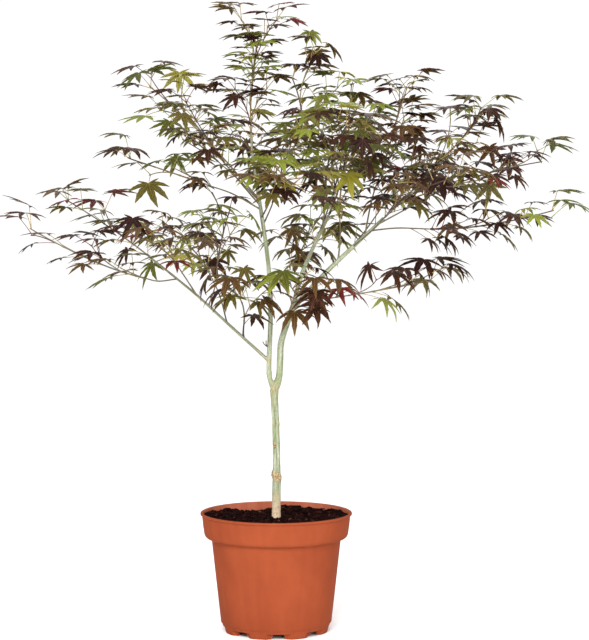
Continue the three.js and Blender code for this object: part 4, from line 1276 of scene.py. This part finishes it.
def growMass(mass):
    # the coarse growth, number by number as in the solids; a second dice adds what is finer
    stem, width, lift = mass["curve"], mass["width"], mass["lift"]
    fill, broad = fullness[mass["name"]]
    dice, fine = Dice(mass["seed"]), Dice(mass["seed"] * 31 + 7)
    owner = mass["owner"]
    axis = mass["end"] - mass["start"]
    sprays = []

    def isInside(points):
        t = np.clip(((points - mass["start"]) @ axis) / axis.dot(axis), 0, 1)
        far = np.linalg.norm(points - mass["start"] - t[:, None] * axis, axis=1)
        return far.max() < growth["space"] * width

    def leafAt(curve, t, turn, source, size=1.0):
        along = curve.tangent(t)
        foot = curve.at(t) - along * growth["sink"]
        return makeLeaf(foot, along, awayFrom(along, turn), mass["droop"], broad, source, size)

    def fillAt(t):
        return fill * (growth["crowding"][0] - growth["crowding"][1] * t)

    def keep(leaves, carrier=-1):
        kept = []
        for leaf in leaves:
            start, end, radius = leafRods(leaf)
            # a stalk's own foot is in its twig, so its rod starts a little way out
            start[0] = start[0] + 0.3 * (end[0] - start[0])
            if isInside(end) and field.isClear(start, end, radius, owner, leafForm["overlap"], carrier):
                kept.append(leaf)
        for leaf in kept:
            start, end, radius = leafRods(leaf)
            field.add(start, end, radius, owner)
        return kept

    nodes = max(2, int(mass["span"] / growth["node"] + 0.5))
    shoots = []
    for i in range(nodes):
        t = (i + 0.6) / nodes
        along = stem.tangent(t)
        twist = growth["twist"] + (math.pi / 2 - growth["twist"]) * along[2] ** 2
        turn = (i % 2) * twist + dice.between(-0.25, 0.25)
        for side in (0, math.pi):
            most = (width / 2 - growth["leafReach"]) * (1 - growth["narrowing"] * t)
            reach = most * dice.between(*growth["reach"])
            lean = growth["shootAngle"]
            way = along * math.cos(lean) + awayFrom(along, turn + side) * math.sin(lean)
            start = stem.at(t)
            end = start + way * reach + up * lift * reach
            straight = bentCurve(start, (start + end) / 2, end, 4)
            leaves = [leafAt(straight, 1, turn, dice), leafAt(straight, 1, turn + math.pi, dice)]
            shoots.append((t, start, end, turn, leaves))
    tipLeaves = [leafAt(stem, 1, tipTurn, dice) for tipTurn in (0.2, 0.2 + math.pi, math.pi / 2)]

    def spray(leaves, tint=None):
        if leaves:
            sprays.append((tint or fine.pick(palettes[mass["tints"]]), leaves))

    stemNodes = []
    grown = []
    for t, start, end, turn, leaves in shoots:
        kept = keep(leaves) if fine.roll() < fillAt(t) + growth["coarse"] else []
        if not kept:
            continue
        span = np.linalg.norm(end - start)
        bow = np.array([fine.between(-1, 1), fine.between(-1, 1), fine.between(-0.4, 1.2)])
        bow = bow * growth["bow"] * span
        leave = max(0.02, t - growth["early"])
        curve = bentCurve(stem.at(leave), start + 0.15 * (end - start) + bow, end, 40)
        tint = fine.pick(palettes[mass["tints"]])
        spray(kept, tint)
        field.add(*rodsAlong(curve, growth["shoot"], 3), owner)
        stemNodes.append(leave)
        grown.append((t, curve, span, turn, tint))
    spray(keep(tipLeaves))

    # further pairs along the shoots and the stem, and a twiglet with its own pair
    shootNodes = {i: [] for i in range(len(grown))}
    for i, (t, curve, span, turn, tint) in enumerate(grown):
        for k, share in enumerate(growth["middlePairs"]):
            if span < growth["middleLeast"] or fine.roll() > fillAt(t):
                continue
            pairTurn = turn + math.pi / 2 * (k + 1) + fine.between(-0.4, 0.4)
            size = fine.between(0.72, 0.98)
            pair = [leafAt(curve, share, pairTurn + side, fine, size) for side in (0, math.pi)]
            kept = keep(pair)
            if kept:
                shootNodes[i].append(share)
                spray(kept, tint if fine.roll() < growth["sameTint"] else None)
        if span > growth["twigletLeast"]:
            for places, side in [(places, side) for places in growth["twiglets"] for side in (0, math.pi)]:
                if fine.roll() > fillAt(t):
                    continue
                share = fine.between(*places)
                along = curve.tangent(share)
                away = awayFrom(along, turn + side + fine.between(-0.5, 0.5))
                foot = curve.at(share)
                reach = growth["twigletShare"] * (1 - 0.5 * share) * span * fine.between(0.6, 1)
                tip = foot + unit(along * 0.7 + away * 0.7 + up * 0.25) * reach
                twiglet = bentCurve(foot, (foot + tip) / 2 + up * 0.06 * reach, tip, 20)
                size = fine.between(0.75, 1)
                pair = [leafAt(twiglet, 1, turn + side + fine.between(-0.5, 0.5), fine, size)
                        for side in (0, math.pi)]
                kept = keep(pair)
                if kept:
                    twigletTint = fine.pick({"tan": 3, "brown": 2, "grey": 1})
                    addTwig(twiglet, growth["twiglet"], twigletTint, rings=5, sides=6)
                    shootNodes[i].append(share)
                    spray(kept, tint if fine.roll() < growth["sameTint"] else None)
    for i in range(nodes):
        for share in growth["stemPairs"]:
            t = (i + share) / nodes
            if fine.roll() > fillAt(t):
                continue
            turn = fine.between(0, math.pi)
            size = fine.between(0.75, 1)
            kept = keep([leafAt(stem, t, turn + side, fine, size) for side in (0, math.pi)])
            if kept:
                stemNodes.append(t)
                spray(kept)
    limb = limbs[mass["limb"]]
    for share in growth["limbPairs"]:
        if limbRadius(limb, share) > growth["limbMost"] or fine.roll() > fillAt(0):
            continue
        turn = fine.between(0, math.pi)
        size = fine.between(0.75, 1)
        pair = [leafAt(limb["curve"], share, turn + side, fine, size) for side in (0, math.pi)]
        spray(keep(pair, owners[mass["limb"]]))

    stemTint = fine.pick({"tan": 2, "grey": 3, "brown": 2} if mass["tints"] not in ("wine", "dark")
                         else {"grey": 3, "brown": 2})
    addTwig(stem, mass["radii"], stemTint, sorted(set(stemNodes)), rings=20, sides=8)
    for i, (t, curve, span, turn, tint) in enumerate(grown):
        dark = leafTints[tint]["slot"] == "leaf_purple"
        twigTint = fine.pick({"brown": 3, "tan": 1, "grey": 1} if dark
                             else {"tan": 3, "brown": 1, "grey": 1})
        addTwig(curve, growth["shoot"], twigTint, sorted(shootNodes[i]))
    for tint, leaves in sprays:
        dark = leafTints[tint]["slot"] == "leaf_purple"
        stalkTint = fine.pick({"red": 3, "tan": 3} if dark else {"tan": 3, "green": 2})
        for leaf in leaves:
            leavesOf[tint].append(leaf)
            massesOf[tint].add(mass["name"])
            stalk = leaf["base"] - leaf["foot"]
            arch = bentCurve(leaf["foot"], leaf["foot"] + stalk * 0.5 + up * 0.05 * np.linalg.norm(stalk),
                             leaf["base"] + leaf["forward"] * 0.4, 12)
            points = np.array([arch.at(t) for t in (0, 0.08, 0.3, 0.6, 0.9, 1)])
            stalkPile[stalkTint].add(*tubeShape(points, [0.8, 0.62, 0.46, 0.42, 0.46, 0.4], 6))
    return sum(len(leaves) for _, leaves in sprays)


def makeLeafNet():
    # the net of one blade: for every corner its lobe, row and column, the faces and the rim
    rows = len(leafForm["inner"]) + len(leafForm["outer"])
    inside = len(leafForm["inner"]) - 1
    lobes = len(leafForm["lobes"])
    keys, ids = {}, np.zeros((lobes, rows, 8), int)

    def keyOf(lobe, row, column):
        # columns 0-4 run across the upper side, 5-7 across the lower; shared corners share a key
        if row == 0:
            return "base"
        if row == rows - 1:
            return ("tip", lobe)
        upper = column < 5
        side = {0: -1, 4: 1, 5: -1, 7: 1}.get(column, 0)
        if side == 0:
            return ("mid", lobe, row, column)
        if row <= inside:
            left = lobe if side < 0 else lobe + 1
            outermost = left == 0 or left == lobes
            rim = outermost or row == inside
            return ("seam", left, row, None if rim else upper)
        return ("edge", lobe, row, side)

    for lobe in range(lobes):
        for row in range(rows):
            for column in range(8):
                ids[lobe, row, column] = keys.setdefault(keyOf(lobe, row, column), len(keys))
    faces, slots = [], []
    for lobe in range(lobes):
        for row in range(rows - 1):
            here, beyond = ids[lobe, row], ids[lobe, row + 1]
            for low, high, slot, flip in ((0, 1, 0, 0), (1, 2, 1, 0), (2, 3, 1, 0), (3, 4, 0, 0),
                                          (5, 6, 2, 1), (6, 7, 2, 1)):
                ring = [here[low], here[high], beyond[high], beyond[low]]
                face = [c for k, c in enumerate(ring) if c not in ring[:k]]
                faces.append(face if flip else face[::-1])
                slots.append(slot)
    # an edge between the upper and the lower side is part of the rim
    sides = {}
    for face, slot in zip(faces, slots):
        for a, b in zip(face, face[1:] + face[:1]):
            sides.setdefault((min(a, b), max(a, b)), set()).add(slot == 2)
    rim = [edge for edge, kinds in sides.items() if len(kinds) == 2]
    return ids, faces, slots, rim


leafIds, leafFaces, leafSlots, leafRim = makeLeafNet()
leafCorners = np.array([c for face in leafFaces for c in face], np.int32)
leafTotals = np.array([len(face) for face in leafFaces], np.int32)


def bladePoints(leaf, rng):
    # the corners of one blade, every lobe with its own length and droop, all folded alike
    f = leafForm
    lobes = len(f["lobes"])
    angles = np.radians(np.array(f["lobes"], float)) + rng.uniform(-0.06, 0.06, lobes)
    lengths = np.array(f["reach"]) * rng.uniform(0.92, 1.06, lobes) * leaf["length"]
    droop = 2.4 * leaf["curl"] * rng.uniform(*f["limp"]) * rng.uniform(0.7, 1.3, lobes)
    fold = rng.uniform(*f["fold"])
    aside = rng.uniform(-0.12, 0.12, lobes)  # sickle curve of each lobe
    halves = np.diff(angles) / 2
    halfLeft = np.concatenate([[0.3], halves])
    halfRight = np.concatenate([halves, [0.3]])
    notch = np.interp(leaf["broad"] + rng.uniform(-0.25, 0.25), [0, 1], f["sinus"])
    sinus = notch * (lengths[:-1] + lengths[1:]) / 2
    sinusLeft = np.concatenate([[0.5 * notch * lengths[0]], sinus])
    sinusRight = np.concatenate([sinus, [0.5 * notch * lengths[-1]]])
    inner, outer = np.array(f["inner"]), np.array(f["outer"])
    rows = len(inner) + len(outer)
    teeth = 1 + f["tooth"] * np.where(np.arange(len(outer)) % 2 == 0, 1, -1)
    outline = (1 - outer) ** 1.2 * (1 + 2.3 * outer) * teeth
    full = np.zeros((lobes, rows, 8, 3))
    for j in range(lobes):
        root = (sinusLeft[j] * math.cos(halfLeft[j]) + sinusRight[j] * math.cos(halfRight[j])) / 2
        along = np.concatenate([root * inner, root + (lengths[j] - root) * outer])
        alongLeft = np.concatenate([sinusLeft[j] * math.cos(halfLeft[j]) * inner, along[len(inner):]])
        alongRight = np.concatenate([sinusRight[j] * math.cos(halfRight[j]) * inner, along[len(inner):]])
        wideLeft = sinusLeft[j] * math.sin(halfLeft[j]) * np.concatenate([inner, outline])
        wideRight = sinusRight[j] * math.sin(halfRight[j]) * np.concatenate([inner, outline])
        # along the lobe the blade bends down more and more
        steps = np.linspace(0, lengths[j] * 1.02, 40)
        slope = droop[j] * (steps / lengths[j]) ** 1.4
        out = np.concatenate([[0], np.cumsum(np.cos(slope[:-1]) * np.diff(steps))])
        down = np.concatenate([[0], np.cumsum(np.sin(slope[:-1]) * np.diff(steps))])
        ribWidth = np.interp(along / lengths[j], [0, 1], f["rib"])
        thick = f["thick"] * (1 - 0.6 * along / lengths[j])
        for column, (where, wide, lift) in enumerate((
                (alongLeft, -wideLeft, 0), (along, -np.minimum(ribWidth, 0.6 * wideLeft), 0.3),
                (along, 0 * along, 0.75), (along, np.minimum(ribWidth, 0.6 * wideRight), 0.3),
                (alongRight, wideRight, 0), (alongLeft, -wideLeft, 0), (along, 0 * along, -0.5),
                (alongRight, wideRight, 0))):
            angle = angles[j] + aside[j] * (where / lengths[j]) ** 2
            lateral = wide * math.cos(fold)
            raised = np.abs(wide) * math.sin(fold) + lift * thick
            lean = np.interp(where, steps, slope)
            flat = np.interp(where, steps, out) + raised * np.sin(lean)
            height = -np.interp(where, steps, down) + raised * np.cos(lean)
            full[j, :, column, 0] = flat * np.sin(angle) + lateral * np.cos(angle)
            full[j, :, column, 1] = flat * np.cos(angle) - lateral * np.sin(angle)
            full[j, :, column, 2] = height
        # inside the notches the lower side keeps a little below the upper
        full[j, :len(inner) - 1, 5:8:2, 2] -= 0.25 * f["thick"]
        full[j, :len(inner) - 1, 0:5:4, 2] += 0.25 * f["thick"]
    flatIds = leafIds.ravel()
    counts = np.bincount(flatIds)
    points = np.stack([np.bincount(flatIds, full[..., k].ravel()) / counts for k in range(3)], -1)
    return leaf["base"] + points @ np.stack([leaf["right"], leaf["forward"], leaf["normal"]])


def leafMaterial(name, colour, gloss, translucent):
    # a plain tint with a faint grain in its gloss and surface
    material, nodes, links, shader = startMaterial(name)
    grain = addNoise(nodes, links, 900.0, 3.0)
    shine = addRamp(nodes, links, grain, [(0.3, grey(gloss - 0.07)), (0.7, grey(gloss + 0.07))])
    links.new(shine, shader.inputs["Roughness"])
    addBump(nodes, links, grain, shader, 0.25, 0.0002)
    shader.inputs["Base Color"].default_value = srgb(*colour)
    shader.inputs["Specular IOR Level"].default_value = 0.05
    shader.inputs["Subsurface Weight"].default_value = translucent
    shader.inputs["Subsurface Radius"].default_value = (0.004, 0.004, 0.002)
    shader.inputs["Subsurface Scale"].default_value = 0.4
    return material


def twigMaterial(name, colour, dark):
    # patches of the tint and of a shade of it; dark is the shade's share
    material, nodes, links, shader = startMaterial(name)
    patch = addNoise(nodes, links, 240.0, 4.0, 0.6)
    tone = addRamp(nodes, links, patch, [(0.32, srgb(*[dark * c for c in colour])), (0.6, srgb(*colour))])
    links.new(tone, shader.inputs["Base Color"])
    shader.inputs["Roughness"].default_value = 0.6
    addBump(nodes, links, patch, shader, 0.2, 0.0002)
    return material


for mass in massTable:
    growStem(mass)
leafCount = 0
for mass in massTable:
    grownLeaves = growMass(mass)
    leafCount += grownLeaves
    print("  ", mass["name"], grownLeaves)
print("  leaves", leafCount)

deadShoot = {
    "foot": (-8.5, -0.5, 358), "bend": (-13.5, -1, 359),
    "tips": ((-16.5, -1.5, 364.5), (-12.5, -1.2, 366)),
    "thick": (1, 0.55),
}


def makeDeadShoot():
    # a short dead shoot with two tips, on the leader above the lowest bough
    foot, bend = np.array(deadShoot["foot"]), np.array(deadShoot["bend"])
    for tip in deadShoot["tips"]:
        addTwig(bentCurve(foot, bend, np.array(tip), 12), deadShoot["thick"], "brown", rings=5, sides=6)


makeDeadShoot()

allMasses = [mass["name"] for mass in massTable]
for tint, pile in twigPile.items():
    piece = pile.makeObject("twigs_" + tint, [twigMaterial("twig_" + tint, shootTints[tint], 0.72)])
    finished(piece, allMasses)
    print("  twigs", tint, pile.triangles())
for tint, pile in stalkPile.items():
    piece = pile.makeObject("stalks_" + tint, [twigMaterial("stalk_" + tint, stalkTints[tint], 0.82)])
    finished(piece, allMasses)
    print("  stalks", tint, pile.triangles())
for number, (tint, leaves) in enumerate(leavesOf.items()):
    rng = np.random.default_rng(leafForm["seed"] + number)
    pile = MeshPile()
    for leaf in leaves:
        pile.add(bladePoints(leaf, rng), leafCorners, leafTotals, leafSlots, leafRim)
    look = leafTints[tint]
    materials = [leafMaterial(kind + tint, look[part], gloss, translucent)
                 for part, (kind, gloss, translucent) in leafSkins.items()]
    piece = pile.makeObject("leaves_" + tint, materials)
    finished(piece, sorted(massesOf[tint]))
    print("  leaves", tint, len(leaves), pile.triangles())
